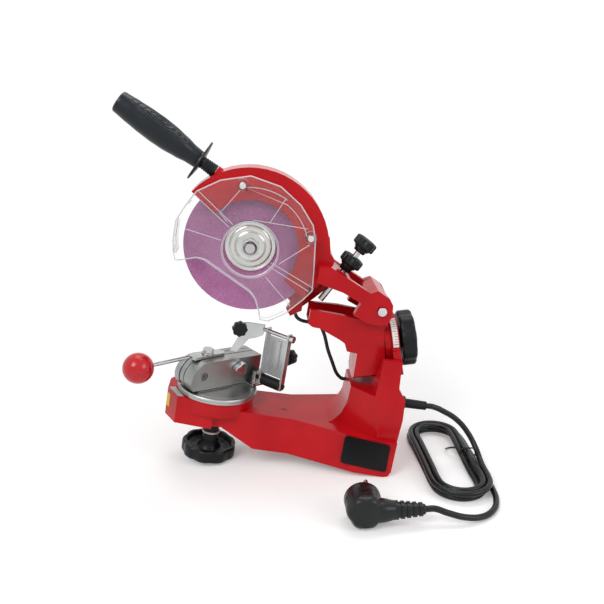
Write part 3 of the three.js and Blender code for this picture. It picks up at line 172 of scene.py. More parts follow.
def moulded(name, low, high, rough_low, rough_high, grain=900, shine=0.2, alpha=1.0):
    s = Shader(name, low, rough_low, Specular_IOR_Level=shine, Alpha=alpha)
    s.color(s.blend(s.spread(s.noise(40, 3), 0, 1), low, high))
    s.rough(s.spread(s.noise(130, 4), rough_low, rough_high))
    s.bump(s.noise(grain, 2), 0.15, 0.0002)
    return s.material


def metal(name, low, high, rough_low, rough_high, stretch=(1, 1, 1), scale=220, depth=0.00004):
    s = Shader(name, low, rough_low, 1.0)
    grain = s.noise(scale, 4, 0.6, stretch)
    s.color(s.blend(s.spread(s.noise(25, 2), 0, 1), low, high))
    s.rough(s.spread(grain, rough_low, rough_high))
    s.bump(grain, 0.12, depth)
    return s.material


def abrasive():
    s = Shader("abrasive", (0.44, 0.15, 0.33), 0.9, Specular_IOR_Level=0.15)
    grain = s.cells(2600)
    tint = s.blend(s.spread(s.noise(30, 3), 0, 1), (0.38, 0.12, 0.29), (0.50, 0.19, 0.40))
    pale = s.blend(s.spread(grain.outputs["Color"], 0, 1, 0.6, 0.9), tint, (0.66, 0.36, 0.56))
    s.color(s.blend(s.spread(s.noise(1800, 2), 0, 1, 0.58, 0.7), pale, (0.24, 0.06, 0.18)))
    s.bump(grain.outputs["Distance"], 0.5, 0.0003)
    return s.material


def clear_plastic(name, front, rim, tint):
    """See-through from the front, whitish where it is seen edge on."""
    s = Shader(name, tint, 0.06, Specular_IOR_Level=0.5)
    edge = s.tree.nodes.new("ShaderNodeLayerWeight")
    edge.inputs["Blend"].default_value = 0.5
    haze = s.spread(s.noise(25, 3), 0.0, 0.02)
    total = s.tree.nodes.new("ShaderNodeMath")
    total.operation = "ADD"
    s.link(s.spread(edge.outputs["Facing"], front, rim, 0.25, 1.0), total.inputs[0])
    s.link(haze, total.inputs[1])
    s.link(total.outputs["Value"], s.main.inputs["Alpha"])
    s.rough(s.spread(s.noise(60, 3), 0.03, 0.12))
    return s.material


LOOKS = {
    "red": red_paint(),
    "black": moulded("black_plastic", (0.005, 0.006, 0.007), (0.009, 0.010, 0.012), 0.28, 0.42),
    "grip": moulded("grip_plastic", (0.006, 0.009, 0.013), (0.010, 0.014, 0.019), 0.26, 0.36, 500, 0.3),
    "rubber": moulded("cord_rubber", (0.005, 0.006, 0.007), (0.009, 0.010, 0.011), 0.24, 0.36, 1400, 0.3),
    # black_plate is also the painted shade of the drain slot
    "plate": moulded("black_plate", (0.004, 0.004, 0.005), (0.006, 0.006, 0.007), 0.3, 0.4, 300),
    "white": moulded("white_nylon", (0.72, 0.71, 0.68), (0.80, 0.79, 0.77), 0.35, 0.5),
    "label": moulded("grey_label", (0.50, 0.49, 0.48), (0.58, 0.57, 0.55), 0.3, 0.45, 300),
    "yellow": moulded("yellow_label", (0.80, 0.52, 0.02), (0.86, 0.60, 0.04), 0.3, 0.45, 300),
    "ball": moulded("red_ball", (0.50, 0.004, 0.010), (0.58, 0.008, 0.014), 0.05, 0.10, 200, 0.4),
    "zinc": metal("zinc_plate", (0.42, 0.43, 0.43), (0.52, 0.53, 0.53), 0.16, 0.30, (1, 1, 1), 1400),
    "steel": metal("bright_steel", (0.55, 0.55, 0.56), (0.68, 0.68, 0.69), 0.10, 0.22, (1, 1, 1), 400),
    "cast": metal("cast_aluminium", (0.38, 0.39, 0.38), (0.46, 0.47, 0.46), 0.24, 0.40, (1, 1, 1), 1100,
                  0.00006),
    "bright": metal("turned_flange", (0.50, 0.50, 0.47), (0.60, 0.60, 0.57), 0.16, 0.28, (1, 1, 1), 1600),
    "jaw": metal("milled_jaw", (0.28, 0.29, 0.28), (0.38, 0.39, 0.38), 0.26, 0.44, (1, 1, 9), 420, 0.0001),
    "abrasive": abrasive(),
    "clear": clear_plastic("clear_plastic", 0.04, 0.8, (0.86, 0.90, 0.92)),
    "seam": moulded("clear_seam", (0.80, 0.80, 0.82), (0.88, 0.88, 0.90), 0.08, 0.14, 200, 0.5, 0.55),
    "copper": metal("copper_wire", (0.55, 0.24, 0.10), (0.66, 0.32, 0.15), 0.3, 0.45, (1, 30, 1), 90),
    "dark": metal("rotor_steel", (0.16, 0.16, 0.17), (0.22, 0.22, 0.23), 0.35, 0.5, (1, 20, 1), 120),
}

# look and edge rounding in mm of the CAD nodes that are dressed as they are; with 0 the node itself shows
DRESS = {
    "red": {"base_casting": 1.6, "tilt_bracket": 1.2, "wheel_housing": 1.2, "motor_shell": 1.0},
    "black": {"motor_cap": 1.0, "lock_spacer": 0.4, "switch_box": 1.2, "stop_barrel": 0.5,
              "cord_gland": 0.3, "cable_clip": 0.4},
    "ball": {"switch_rocker": 0.5},
    "zinc": {"lock_stud": 0.0, "vice_plate": 0.3, "jaw_screw": 0.5, "cam_plate": 0.5, "cam_bolt": 0.4,
             "clamp_lever": 0.3, "stop_bracket": 0.4, "stop_ear": 0.4, "stop_pawl": 0.4, "tilt_bolt": 0.3,
             "wheel_nut": 0.5, "handle_stud": 0.0, "depth_screw": 0.5, "plug_pin_a": 0.8, "plug_pin_b": 0.8},
    "steel": {"stop_axle": 0.4, "guard_screw_a": 0.4, "guard_screw_b": 0.4, "spindle": 0.3,
              "bearing_front": 0.0, "bearing_rear": 0.0, "hinge_pin": 0.5, "return_spring": 0.0},
    "cast": {"flange_inner": 0.3},
    "jaw": {"jaw_moving": 0.6, "jaw_fixed": 0.6, "jaw_backing": 0.6},
    "abrasive": {"grinding_wheel": 0.4},
    "clear": {"guard": 0.0},
    "copper": {"motor_stator": 0.0},
    "dark": {"motor_rotor": 0.0, "jaw_pivot_screw": 0.3},
}


def give(obj, look):
    obj.data.materials.clear()
    obj.data.materials.append(LOOKS[look])


# angles from which an edge is rounded or stays sharp, or below which two faces are one; welds in metres
ROUNDED_FROM = math.radians(28)
SHARP_FROM = math.radians(35)
FLAT_BELOW = math.radians(0.6)
SOLID_WELD = 2e-6
MESH_WELD = 1e-6


def soften(obj, width):
    """Rounds the sharp edges by width mm and keeps flat faces flat."""
    for face in obj.data.polygons:
        face.use_smooth = True
    bevel = obj.modifiers.new("rounded", "BEVEL")
    bevel.width = width / 1000
    bevel.segments = 2
    bevel.limit_method = "ANGLE"
    bevel.angle_limit = ROUNDED_FROM
    weighted = obj.modifiers.new("flat_faces", "WEIGHTED_NORMAL")
    weighted.weight = 90


def body_of_node(name):
    for body, members in frame["record"]["behaviour"]["bodies"].items():
        if name in members:
            return body
    raise ValueError(name)


def add(obj, body, stands_for=()):
    bpy.context.scene.collection.objects.link(obj)
    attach(obj, body)
    if stands_for:
        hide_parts(*stands_for)
    return obj


def dressed(name, look, width):
    """The node's own solid with welded vertices, merged flats and rounded edges."""
    bm = bmesh.new()
    bm.from_mesh(nodes[name].data)
    bmesh.ops.remove_doubles(bm, verts=bm.verts, dist=SOLID_WELD)
    bmesh.ops.dissolve_limit(bm, angle_limit=FLAT_BELOW, verts=bm.verts, edges=bm.edges)
    mesh = bpy.data.meshes.new("look_" + name)
    bm.to_mesh(mesh)
    bm.free()
    obj = bpy.data.objects.new("look_" + name, mesh)
    give(obj, look)
    soften(obj, width)
    return add(obj, body_of_node(name), [name])


def dress_nodes():
    for look, members in DRESS.items():
        for name, width in members.items():
            if width:
                dressed(name, look, width)
            else:
                give(nodes[name], look)


# turned and lobed pieces
def mesh_object(bm, name, look):
    bmesh.ops.remove_doubles(bm, verts=bm.verts, dist=MESH_WELD)
    bmesh.ops.recalc_face_normals(bm, faces=bm.faces)
    mesh = bpy.data.meshes.new(name)
    bm.to_mesh(mesh)
    bm.free()
    for face in mesh.polygons:
        face.use_smooth = True
    mesh.set_sharp_from_angle(angle=SHARP_FROM)
    obj = bpy.data.objects.new(name, mesh)
    give(obj, look)
    return obj


def smoothstep(value, low, high):
    t = min(1, max(0, (value - low) / (high - low)))
    return t * t * (3 - 2 * t)


def turn_to(axis):
    """Rotation that brings the Z axis on to the given one."""
    return Vector(axis).normalized().to_track_quat("Z", "Y").to_matrix().to_4x4()


def lathe(profile, place, at, axis, segments=96, shape=None, closed=False):
    """Rings of (radius, height) round an axis; shape(angle, radius, height) changes the radius."""
    to_world = place @ Matrix.Translation(at) @ turn_to(axis)
    bm = bmesh.new()
    rows = []
    for radius, height in profile:
        row = []
        for step in range(segments):
            angle = 2 * math.pi * step / segments
            r = shape(angle, radius, height) if shape else radius
            row.append(bm.verts.new(to_world @ Vector((r * math.cos(angle), r * math.sin(angle), height))))
        rows.append(row)
    pairs = list(zip(rows, rows[1:]))
    if closed:
        pairs.append((rows[-1], rows[0]))
    for first, second in pairs:
        for step in range(segments):
            after = (step + 1) % segments
            bm.faces.new((first[step], first[after], second[after], second[step]))
    return bm


def turned(node, look, profile, place, at, axis, **shape):
    """A turned piece that stands for a node."""
    obj = mesh_object(lathe(profile, place, at, axis, **shape), "look_" + node, look)
    return add(obj, body_of_node(node), [node])


LOBE_EASE = 0.12


def lobes(count, depth, inner, power=1.6):
    """Finger hollows round a rim, eased in from the inner radius over a share of it."""
    def shape(angle, radius, height):
        if radius <= inner:
            return radius
        hollow = ((1 - math.cos(count * angle)) / 2) ** power
        return radius * (1 - depth * hollow * min(1, (radius - inner) / (LOBE_EASE * inner)))
    return shape


# directions and places in the machine's frame
UP = Vector((0, 0, 1))
NEAR = Vector((0, -1, 0))
FAR = Vector((0, 1, 0))


def in_side_view(degrees):
    """Direction in the upright plane of X and Z, turned up from the X axis."""
    angle = math.radians(degrees)
    return Vector((math.cos(angle), 0, math.sin(angle)))


SCREW_LINE = in_side_view(61.7)
SCREW_FOOT = Vector((31, 0, 179))
TILT_AXIS = in_side_view(15)
TILT_ORIGIN = Vector((116.9, 0, 143.5))
HANDLE_LINE = in_side_view(152.5)
HANDLE_SIDE = Vector((0.462, 0, 0.887))
HANDLE_ROOT = Vector((-104, 2, 302))
WHEEL = Vector((-56, 0, 230))

# knobs, their profiles as (radius, height) from the foot up the outside and back over the face
BIG_LOBES = lobes(9, 0.05, 24)
BIG_STEPS = 216
LOCK_KNOB_FOOT = Vector((TABLE_X, 0, -28))
TILT_KNOB_FOOT = TILT_ORIGIN + TILT_AXIS * 8.6
DEPTH_KNOB_FOOT = SCREW_FOOT + SCREW_LINE * 69
JAM_KNOB_FOOT = SCREW_FOOT + SCREW_LINE * 43


def lock_knob():
    flange = [(0, 2.0), (22, 2.0), (24, 0.4), (26, 0), (30.4, 0.5), (31.6, 1.6), (32, 3.2), (32, 12.2),
              (31.5, 13.8), (30.4, 14.8), (28.8, 15), (27.4, 14.4), (26.4, 12.6), (25, 9), (22, 7.6),
              (14, 8.6)]
    hub = [(11, 12), (9.6, 18), (9.0, 25.8), (8.4, 27), (5.3, 27), (5.3, 15.2), (0, 15.2)]
    turned("lock_knob", "black", flange + hub, machine, LOCK_KNOB_FOOT, UP, segments=BIG_STEPS,
           shape=BIG_LOBES)


def tilt_knob():
    hub = [(0, 9.3), (5.3, 9.3), (5.3, 0), (10.6, 0), (11.4, 0.6), (11.5, 3.0)]
    flange = [(24, 4.4), (28, 3.2), (30.8, 3.6), (31.7, 4.8), (32, 6.2), (32, 16.6), (31.4, 18.6),
              (30, 19.7), (28, 20), (26.6, 19.2), (25.4, 16.8), (22, 15.2), (12, 15.6), (8, 17.4), (4, 18.2),
              (0, 18.4)]
    turned("tilt_knob", "black", hub + flange, machine, TILT_KNOB_FOOT, TILT_AXIS, segments=BIG_STEPS,
           shape=BIG_LOBES)


SCREW_BORE = 3.8


def depth_rim(hub):
    """Hub and lobed rim of the two knobs on the depth screw."""
    return [(SCREW_BORE, 0), (6.4, 0), (7, 0.8), (7.4, hub - 2.4), (9, hub - 2), (9, hub - 0.6), (10.2, hub),
            (12.2, hub + 0.3), (12.9, hub + 1.4), (13, hub + 2.4), (13, hub + 8.8), (12.6, hub + 10),
            (11.4, hub + 10.8), (10.2, hub + 11), (9.2, hub + 10.2), (7.8, hub + 9.8)]


def depth_knobs():
    small = lobes(10, 0.11, 10.5, 1.0)
    hub, bore_depth = 6, 12.3
    blind = [(0, bore_depth), (SCREW_BORE, bore_depth)] + depth_rim(hub) + [(4, hub + 10.6), (0, hub + 10.9)]
    turned("depth_knob", "black", blind, machine, DEPTH_KNOB_FOOT, SCREW_LINE, segments=160, shape=small)
    hub = 8
    through_bored = depth_rim(hub) + [(5, hub + 10.2), (SCREW_BORE, hub + 10.2)]
    turned("depth_lock_knob", "black", through_bored, machine, JAM_KNOB_FOOT, SCREW_LINE, segments=160,
           shape=small, closed=True)


STOP_KNOB_FOOT = Vector((6.5, 1.5, 100))
PAWL_KNOB_FOOT = Vector((-27, -2.5, 130))


def chain_stop_knobs():
    """Knobs of the chain stop and its pawl, each in the frame of the piece that it clamps."""
    stop_profile = [(0, 0), (8.4, 0), (9, 0.8), (8.6, 2.4), (6.2, 7.6), (5.5, 8.8), (5.4, 10.4),
                    (7.6, 10.8), (9, 11.8), (9.5, 13.2), (9.5, 19.4), (9, 21.2), (7.8, 22), (5.6, 21.4),
                    (3, 21.2), (0, 21.2)]
    turned("stop_knob", "black", stop_profile, stop, STOP_KNOB_FOOT, FAR, shape=lobes(7, 0.12, 7.2, 1.0))
    pawl_profile = [(0, 0), (7.4, 0), (8.6, 0.6), (9, 1.8), (9, 7), (8.6, 8.3), (7.4, 9), (5, 8.5),
                    (2.6, 8.7), (0, 8.8)]
    turned("pawl_knob", "black", pawl_profile, pawl, PAWL_KNOB_FOOT, NEAR, shape=lobes(8, 0.12, 6.6, 1.0))


# handle
GRIP_STATIONS = [(10.0, 24), (10.4, 31), (12.5, 43), (14.4, 60), (14.9, 74), (14.5, 88), (13.4, 104),
                 (12.1, 118)]
PATCH_START, PATCH_END = 34, 116
PATCH_MIDDLE, PATCH_REACH, PATCH_SPREAD = 75, 40, 0.85
PATCH_RIBS, RIB_DEPTH, PATCH_EDGE = 5.5, 0.28, 6
PATCH_TURN = math.radians(35)


def grip_radius(height):
    """Radius of the grip, eased between its stations."""
    for (r0, h0), (r1, h1) in zip(GRIP_STATIONS, GRIP_STATIONS[1:]):
        if height <= h1:
            straight = (height - h0) / (h1 - h0)
            return r0 + (r1 - r0) * (smoothstep(height, h0, h1) + straight) / 2
    return GRIP_STATIONS[-1][0]


def rib_patch():
    """Oval ribs round a middle that faces the viewer and up."""
    facing = HANDLE_SIDE * math.cos(PATCH_TURN) + NEAR * math.sin(PATCH_TURN)
    local = turn_to(HANDLE_LINE).inverted() @ facing
    middle = math.atan2(local.y, local.x)

    def shape(angle, radius, height):
        if not PATCH_START <= height <= PATCH_END:
            return radius
        off = (angle - middle + math.pi) % (2 * math.pi) - math.pi
        reach = math.hypot((height - PATCH_MIDDLE) / PATCH_REACH, off / PATCH_SPREAD)
        if reach >= 1:
            return radius
        wave = 1 - math.cos(2 * math.pi * PATCH_RIBS * reach)
        return radius - RIB_DEPTH * wave * min(1, (1 - reach) * PATCH_EDGE)
    return shape


def rings(count, start, pitch, radius, taper, width, depth, slope):
    """Rings on a turned piece with grooves between them, each ring smaller than the last."""
    profile = []
    for step in range(count):
        foot = start + step * pitch
        top = radius - step * taper
        floor = top - depth
        profile += [(top, foot), (top, foot + width)]
        profile += [(floor, foot + width + slope), (floor, foot + pitch - slope)]
    return profile


def grip():
    bore = [(0, 40), (4.3, 40), (4.3, 0.5), (6.9, 0.5), (7.3, 1.4)]
    neck = rings(5, 2.4, 2.6, 7.2, 0.1, 1.5, 0.5, 0.3)
    hand_guard = [(7.2, 16.6), (14, 17.4), (22.2, 18.6), (23.2, 19.2), (23.4, 20.0), (23.0, 20.8),
                  (22, 21.0), (14, 20.2), (10.6, 20.6), (9.8, 22)]
    palm = [(grip_radius(height), height) for height in range(GRIP_STATIONS[0][1], GRIP_STATIONS[-1][1])]
    end = [(12.0, 119.4), (11.4, 121), (10, 121.8), (8.4, 121.4), (7.6, 119.6), (0, 119.2)]
    turned("handle_grip", "grip", bore + neck + hand_guard + palm + end, machine, HANDLE_ROOT, HANDLE_LINE,
           segments=224, shape=rib_patch())


# turned metal pieces and the ball of the lever
FLANGE_FOOT = WHEEL + NEAR * 8.6
TURNTABLE_FOOT = Vector((TABLE_X, 0, 54.3))


def outer_flange():
    profile = [(6.3, 0), (28, 0), (28, 0.9), (27.3, 1.7), (25.6, 2.0), (24.8, 1.6), (23.6, 1.7), (22.6, 2.8),
               (20.8, 3.6), (19.4, 3.5), (18.6, 3.1), (17.2, 3.3), (15.8, 4.4), (14.2, 5.0), (6.3, 5.0)]
    turned("flange_outer", "bright", profile, machine, FLANGE_FOOT, NEAR, closed=True)


def turntable():
    rim = [(5.3, 0), (45, 0), (46, 0.8), (46, 2.6), (45.5, 2.9), (45.5, 3.2), (46, 3.5), (46, 5.3),
           (45.2, 6.2)]
    groove = [(41, 6.2), (40.7, 5.95), (40.2, 5.95), (39.9, 6.2), (5.3, 6.2)]
    turned("turntable", "cast", rim + groove, machine, TURNTABLE_FOOT, UP, segments=160, closed=True)


LEVER_START = Vector((-40.5, 6, 36.2))
LEVER_END = Vector((-99, 4, 33.6))
BALL_RADIUS = 16.5
BALL_BEYOND = 6.6
BORE_RADIUS = 2.5
BORE_FLOOR = 6.3
BORE_TOP = 11.1
MOUTH_RADIUS = 6.4
BALL_STEPS = 40


def lever_ball():
    """Ball with its centre beyond the lever's end, a bore for the lever and a funnel at the bore's mouth."""
    line = (LEVER_END - LEVER_START).normalized()
    mouth = math.acos(MOUTH_RADIUS / BALL_RADIUS)
    profile = [(0, BORE_FLOOR), (BORE_RADIUS, BORE_FLOOR), (BORE_RADIUS, BORE_TOP)]
    for step in range(BALL_STEPS + 1):
        angle = mouth - (mouth + math.pi / 2) * step / BALL_STEPS
        profile.append((BALL_RADIUS * math.cos(angle), BALL_RADIUS * math.sin(angle)))
    turned("lever_ball", "ball", profile, vice, LEVER_END + line * BALL_BEYOND, -line)


# thin lines: moulded ribs, marks and the tie
def lines(name, paths, diameter, look, body, place=machine, cyclic=False):
    data = bpy.data.curves.new(name, "CURVE")
    data.dimensions = "3D"
    data.bevel_depth = diameter / 2000
    data.bevel_resolution = 2
    data.use_fill_caps = True
    for path in paths:
        spline = data.splines.new("POLY")
        spline.points.add(len(path) - 1)
        spline.use_cyclic_u = cyclic
        for point, at in zip(spline.points, path):
            point.co = (*(place @ Vector(at)), 1)
    obj = bpy.data.objects.new(name, data)
    give(obj, look)
    return add(obj, body)


def wheel_arc(radius, start, end, y, steps):
    """Points on an arc about the wheel's axis, from start to end in degrees."""
    angles = [math.radians(start + (end - start) * step / steps) for step in range(steps + 1)]
    return [(WHEEL.x + radius * math.cos(a), y, WHEEL.z + radius * math.sin(a)) for a in angles]


GUARD_FRONT = -27.6
GUARD_REAR = 1.6
RIM_AT, HUB_AT, WALL_FROM = GUARD_FRONT + 0.5, GUARD_FRONT - 2, GUARD_FRONT + 0.6
# outline of the guard's face as (x, z), from its rear corner over the top to the front and back below
GUARD_FACE = [(17, 195), (15, 218), (11, 251), (6, 266), (-10, 285), (-34, 301), (-66, 307), (-96, 298),
              (-119, 283), (-129, 266), (-137, 249), (-137.5, 228), (-136, 217), (-133, 207), (-127, 208),
              (-112, 213), (-103, 212), (-50, 184), (-43, 177), (-37, 164), (-34, 154), (-25, 154),
              (-8, 165), (9, 184)]
LOWER_EDGE = slice(13, 23)
FRONT_EDGE = slice(8, 13)
GUARD_RIBS = [
    [(-121, 279), (-81, 250.5)], [(-117.5, 283.5), (-77.5, 254)],
    [(-32.5, 219.5), (18, 198)], [(-35, 215.5), (13, 194)],
    [(-75, 291), (-92.5, 264), (-84, 256)], [(-27, 289), (-39.5, 262)],
    [(-126.5, 242), (-87.5, 235.5)], [(-35, 202.5), (-4, 174.5)],
    [(-58.5, 262), (1, 261.5)], [(6, 245), (-23.5, 219)]]
# two arcs about the wheel with a step between them, as (radius, start, end) in mm and degrees
STEPPED_RIB = ((66, 62, 102), (62, 62, 22))
ARC_STEPS = 16
HUB_RADII = (30.6, 29.2)
HUB_STEPS = 59
WALL_RIBS = ((-128, 268), (-136, 217))
INNER_MIDDLE = WHEEL + Vector((1, 0, 0))
INNER_SHARE = 0.955
RIM_WIDTH, RIB_WIDTH, HUB_WIDTH, WALL_WIDTH = 1.5, 0.9, 0.8, 1.1


def guard_seams():
    """Moulded edges and ribs of the clear guard."""
    rim = [(x, RIM_AT, z) for x, z in GUARD_FACE]
    lines("guard_rim", [rim], RIM_WIDTH, "seam", "head", cyclic=True)
    ribs = [[(x, GUARD_FRONT, z) for x, z in path] for path in GUARD_RIBS]
    outer, inner = [wheel_arc(*arc, GUARD_FRONT, ARC_STEPS) for arc in STEPPED_RIB]
    ribs.append(outer + inner[1:])
    ribs.append([((x - INNER_MIDDLE.x) * INNER_SHARE + INNER_MIDDLE.x, GUARD_FRONT,
                  (z - INNER_MIDDLE.z) * INNER_SHARE + INNER_MIDDLE.z) for x, z in GUARD_FACE[LOWER_EDGE]])
    lines("guard_ribs", ribs, RIB_WIDTH, "seam", "head")
    hub = [wheel_arc(radius, 0, 360 - 360 / (HUB_STEPS + 1), HUB_AT, HUB_STEPS) for radius in HUB_RADII]
    lines("guard_hub", hub, HUB_WIDTH, "seam", "head", cyclic=True)
    wall = [[(x, GUARD_REAR, z) for x, z in GUARD_FACE[FRONT_EDGE]]]
    wall += [[(x, WALL_FROM, z), (x, GUARD_REAR, z)] for x, z in WALL_RIBS]
    lines("guard_wall", wall, WALL_WIDTH, "seam", "head")


# bare plates, labels and a black sheet of painted shade for the drain slot
CORNER_STEPS = 6


def rounded(outline, round_by):
    """The outline with each corner replaced by a short curve that starts round_by mm before it."""
    points = []
    for i, corner in enumerate(outline):
        corner = Vector(corner)
        before = (Vector(outline[i - 1]) - corner).normalized() * round_by
        after = (Vector(outline[(i + 1) % len(outline)]) - corner).normalized() * round_by
        for step in range(CORNER_STEPS + 1):
            t = step / CORNER_STEPS
            points.append(corner + before * (1 - t) ** 2 + after * t ** 2)
    return points


def slab(name, outline, thickness, look, body, to_world, round_by, stands_for=()):
    """A thin plate from an outline in its own plane."""
    points = rounded(outline, round_by)
    bm = bmesh.new()
    low = [bm.verts.new(to_world @ Vector((p.x, p.y, 0))) for p in points]
    high = [bm.verts.new(to_world @ Vector((p.x, p.y, thickness))) for p in points]
    bm.faces.new(low)
    bm.faces.new(high)
    for i in range(len(points)):
        j = (i + 1) % len(points)
        bm.faces.new((low[i], low[j], high[j], high[i]))
    return add(mesh_object(bm, name, look), body, stands_for)


def standing(at, along, out):
    """Place of an upright plate: its X runs along, its Y up and its thickness out."""
    basis = Matrix((along, UP, out)).transposed().to_4x4()
    return machine @ Matrix.Translation(at) @ basis


PLATE_AT = Vector((95, -59.3, 0))
BASE_FLARE = math.atan2(3, 42)
NOSE_CORNER = Vector((-125, -13, 0))
NOSE_END = Vector((-112, -34.5, 0))
FRONT_TOP = 54.02
ARM_TOP = 44.0
PLATE_THICKNESS, LABEL_THICKNESS, SLOT_SHADE_THICKNESS = 1.0, 0.3, 0.12
PLATE_ROUND, LABEL_ROUND, SLOT_SHADE_ROUND = 4.0, 1.0, 1.1
PLATE_OUTLINE = ((78, 10.5), (131, 7), (130, 40.5), (78, 44.5))
FRONT_LABEL = ((-123.6, -12.2), (-117, -9.6), (-105.2, -32), (-111.6, -33.4))
# outline of the drain slot, drawn as a thin black sheet of painted shade on the arm's top
SLOT_SHADE_OUTLINE = ((7, -12), (14, -13), (14.4, -10.4), (7.4, -9.4))
END_LABEL = ((1, 33), (8, 33), (8, 49), (1, 49))


def plates():
    side = Vector((math.cos(BASE_FLARE), -math.sin(BASE_FLARE), 0))
    out = Vector((-math.sin(BASE_FLARE), -math.cos(BASE_FLARE), 0))
    on_side = [(x - PLATE_AT.x, z) for x, z in PLATE_OUTLINE]
    slab("look_side_plate", on_side, PLATE_THICKNESS, "plate", "base", standing(PLATE_AT, side, out),
         PLATE_ROUND, ["side_plate"])
    slab("front_label", FRONT_LABEL, LABEL_THICKNESS, "label", "base",
         machine @ Matrix.Translation(UP * FRONT_TOP), LABEL_ROUND)
    # the drain slot is a thin black sheet: painted shade where the slot's hollow would be, not a hole
    slab("drain_slot_painted_shade", SLOT_SHADE_OUTLINE, SLOT_SHADE_THICKNESS, "plate", "base",
         machine @ Matrix.Translation(UP * ARM_TOP), SLOT_SHADE_ROUND)
    nose = (NOSE_END - NOSE_CORNER).normalized()
    slab("end_label", END_LABEL, LABEL_THICKNESS, "yellow", "base",
         standing(NOSE_CORNER, nose, nose.cross(UP)), LABEL_ROUND)


# scale on the rim of the tilt flange
SCALE_INNER, SCALE_OUTER = 31.05, 31.35
SCALE_FOOT, SCALE_TOP = 1.0, 7.2
SCALE_START, SCALE_SWEEP = 112, 66
SCALE_STEPS = 24
MARK_START, MARK_SWEEP = 118, 54
MARK_COUNT = 11
LONG_EVERY = 5
LONG_MARK, SHORT_MARK = 5.6, 3.8
MARK_TOP, MARK_OUT, MARK_WIDTH = 7.0, SCALE_OUTER + 0.05, 0.4


def tilt_scale():
    """White strip with plain divisions on the near rim of the tilt flange."""
    lean = TILT_AXIS.cross(FAR)
    flange = Matrix.Translation(TILT_ORIGIN) @ Matrix((FAR, lean, TILT_AXIS)).transposed().to_4x4()

    def on_flange(degrees, radius, height):
        angle = math.radians(degrees)
        return flange @ Vector((radius * math.cos(angle), radius * math.sin(angle), height))

    bm = bmesh.new()
    rows = []
    section = ((SCALE_INNER, SCALE_FOOT), (SCALE_OUTER, SCALE_FOOT), (SCALE_OUTER, SCALE_TOP),
               (SCALE_INNER, SCALE_TOP))
    for step in range(SCALE_STEPS + 1):
        degrees = SCALE_START + SCALE_SWEEP * step / SCALE_STEPS
        rows.append([bm.verts.new(machine @ on_flange(degrees, *point)) for point in section])
    for first, second in zip(rows, rows[1:]):
        for side in range(4):
            after = (side + 1) % 4
            bm.faces.new((first[side], first[after], second[after], second[side]))
    bm.faces.new(rows[0])
    bm.faces.new(rows[-1])
    add(mesh_object(bm, "tilt_scale", "white"), "base")
    marks = []
    for step in range(MARK_COUNT):
        degrees = MARK_START + MARK_SWEEP * step / (MARK_COUNT - 1)
        reach = LONG_MARK if step % LONG_EVERY == 0 else SHORT_MARK
        marks.append([on_flange(degrees, MARK_OUT, height) for height in (MARK_TOP, MARK_TOP - reach)])
    lines("tilt_marks", marks, MARK_WIDTH, "plate", "base")


def spacer_washer():
    profile = [(9.05, 0), (10.4, 0.2), (10.6, 0.9), (10.4, 1.9), (9.05, 2.1)]
    ring = lathe(profile, machine, (TABLE_X, 0, -0.6), UP, closed=True)
    add(mesh_object(ring, "spacer_washer", "white"), "base")


# cables of the motor
CABLE_RADIUS = 2.1
CABLE_SIDES = 14
SPAN_STEPS = 7
UPPER_ROUTE = [(7, 11.5, 154.2), (9.5, 11.6, 150.4), (15, 11.8, 147.6), (22, 12, 146.8), (29.7, 12, 146.8)]
LOWER_ROUTE = [(30.3, 12, 146.8), (35, 12, 146.8), (39, 12.3, 143), (45, 12.6, 133), (52, 13, 116),
               (60, 13.5, 101), (67, 14, 88.5), (74, 14, 82.4), (79.3, 14, 82), (84.3, 14, 82)]


def through(points, steps):
    """Points of one smooth line through the given ones, steps to each span."""
    points = [Vector(point) for point in points]
    ends = [points[0] * 2 - points[1]] + points + [points[-1] * 2 - points[-2]]
    line = []
    for a, b, c, d in zip(ends, ends[1:], ends[2:], ends[3:]):
        for step in range(steps):
            t = step / steps
            line.append(0.5 * (2 * b + (c - a) * t + (2 * a - 5 * b + 4 * c - d) * t * t
                               + (3 * b - a - 3 * c + d) * t ** 3))
    return line + [points[-1]]


def motor_cable(node, route):
    """Cable along its route between two bodies, as one smooth tube baked in place without a body of its own.
    """
    line = through(route, SPAN_STEPS)
    bm = bmesh.new()
    rings_of_cable = []
    for i, at in enumerate(line):
        ahead = (line[min(i + 1, len(line) - 1)] - line[max(i - 1, 0)]).normalized()
        across = ahead.cross(FAR).normalized()
        lift = across.cross(ahead)
        ring = []
        for side in range(CABLE_SIDES):
            angle = 2 * math.pi * side / CABLE_SIDES
            out = across * math.cos(angle) + lift * math.sin(angle)
            ring.append(bm.verts.new(machine @ (at + out * CABLE_RADIUS)))
        rings_of_cable.append(ring)
    for here, after in zip(rings_of_cable, rings_of_cable[1:]):
        for side in range(CABLE_SIDES):
            turn = (side + 1) % CABLE_SIDES
            bm.faces.new((here[side], here[turn], after[turn], after[side]))
    bm.faces.new(rings_of_cable[0])
    bm.faces.new(rings_of_cable[-1])
    obj = mesh_object(bm, "look_" + node, "rubber")
    bpy.context.scene.collection.objects.link(obj)
    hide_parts(node)
    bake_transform(obj)


# plug, lying on its side, in bench coordinates
PLUG_AT = Vector((94, -148, 19))
NECK_AT = Vector((98, -152, 17))
GRIP_FLATS, FLAT_DEPTH = 6, 0.035
FLAT_FROM, FLAT_TOP, FLAT_FADE = 15, 9, 8
CORD_HOLE, SQUARING = 4, 0.05
CLIP = ((-3.4, 0), (3.4, 0), (3.4, 15), (-3.4, 15))
CLIP_START, CLIP_OUT, CLIP_THICKNESS, CLIP_ROUND = 0.5, 18.05, 0.9, 0.8


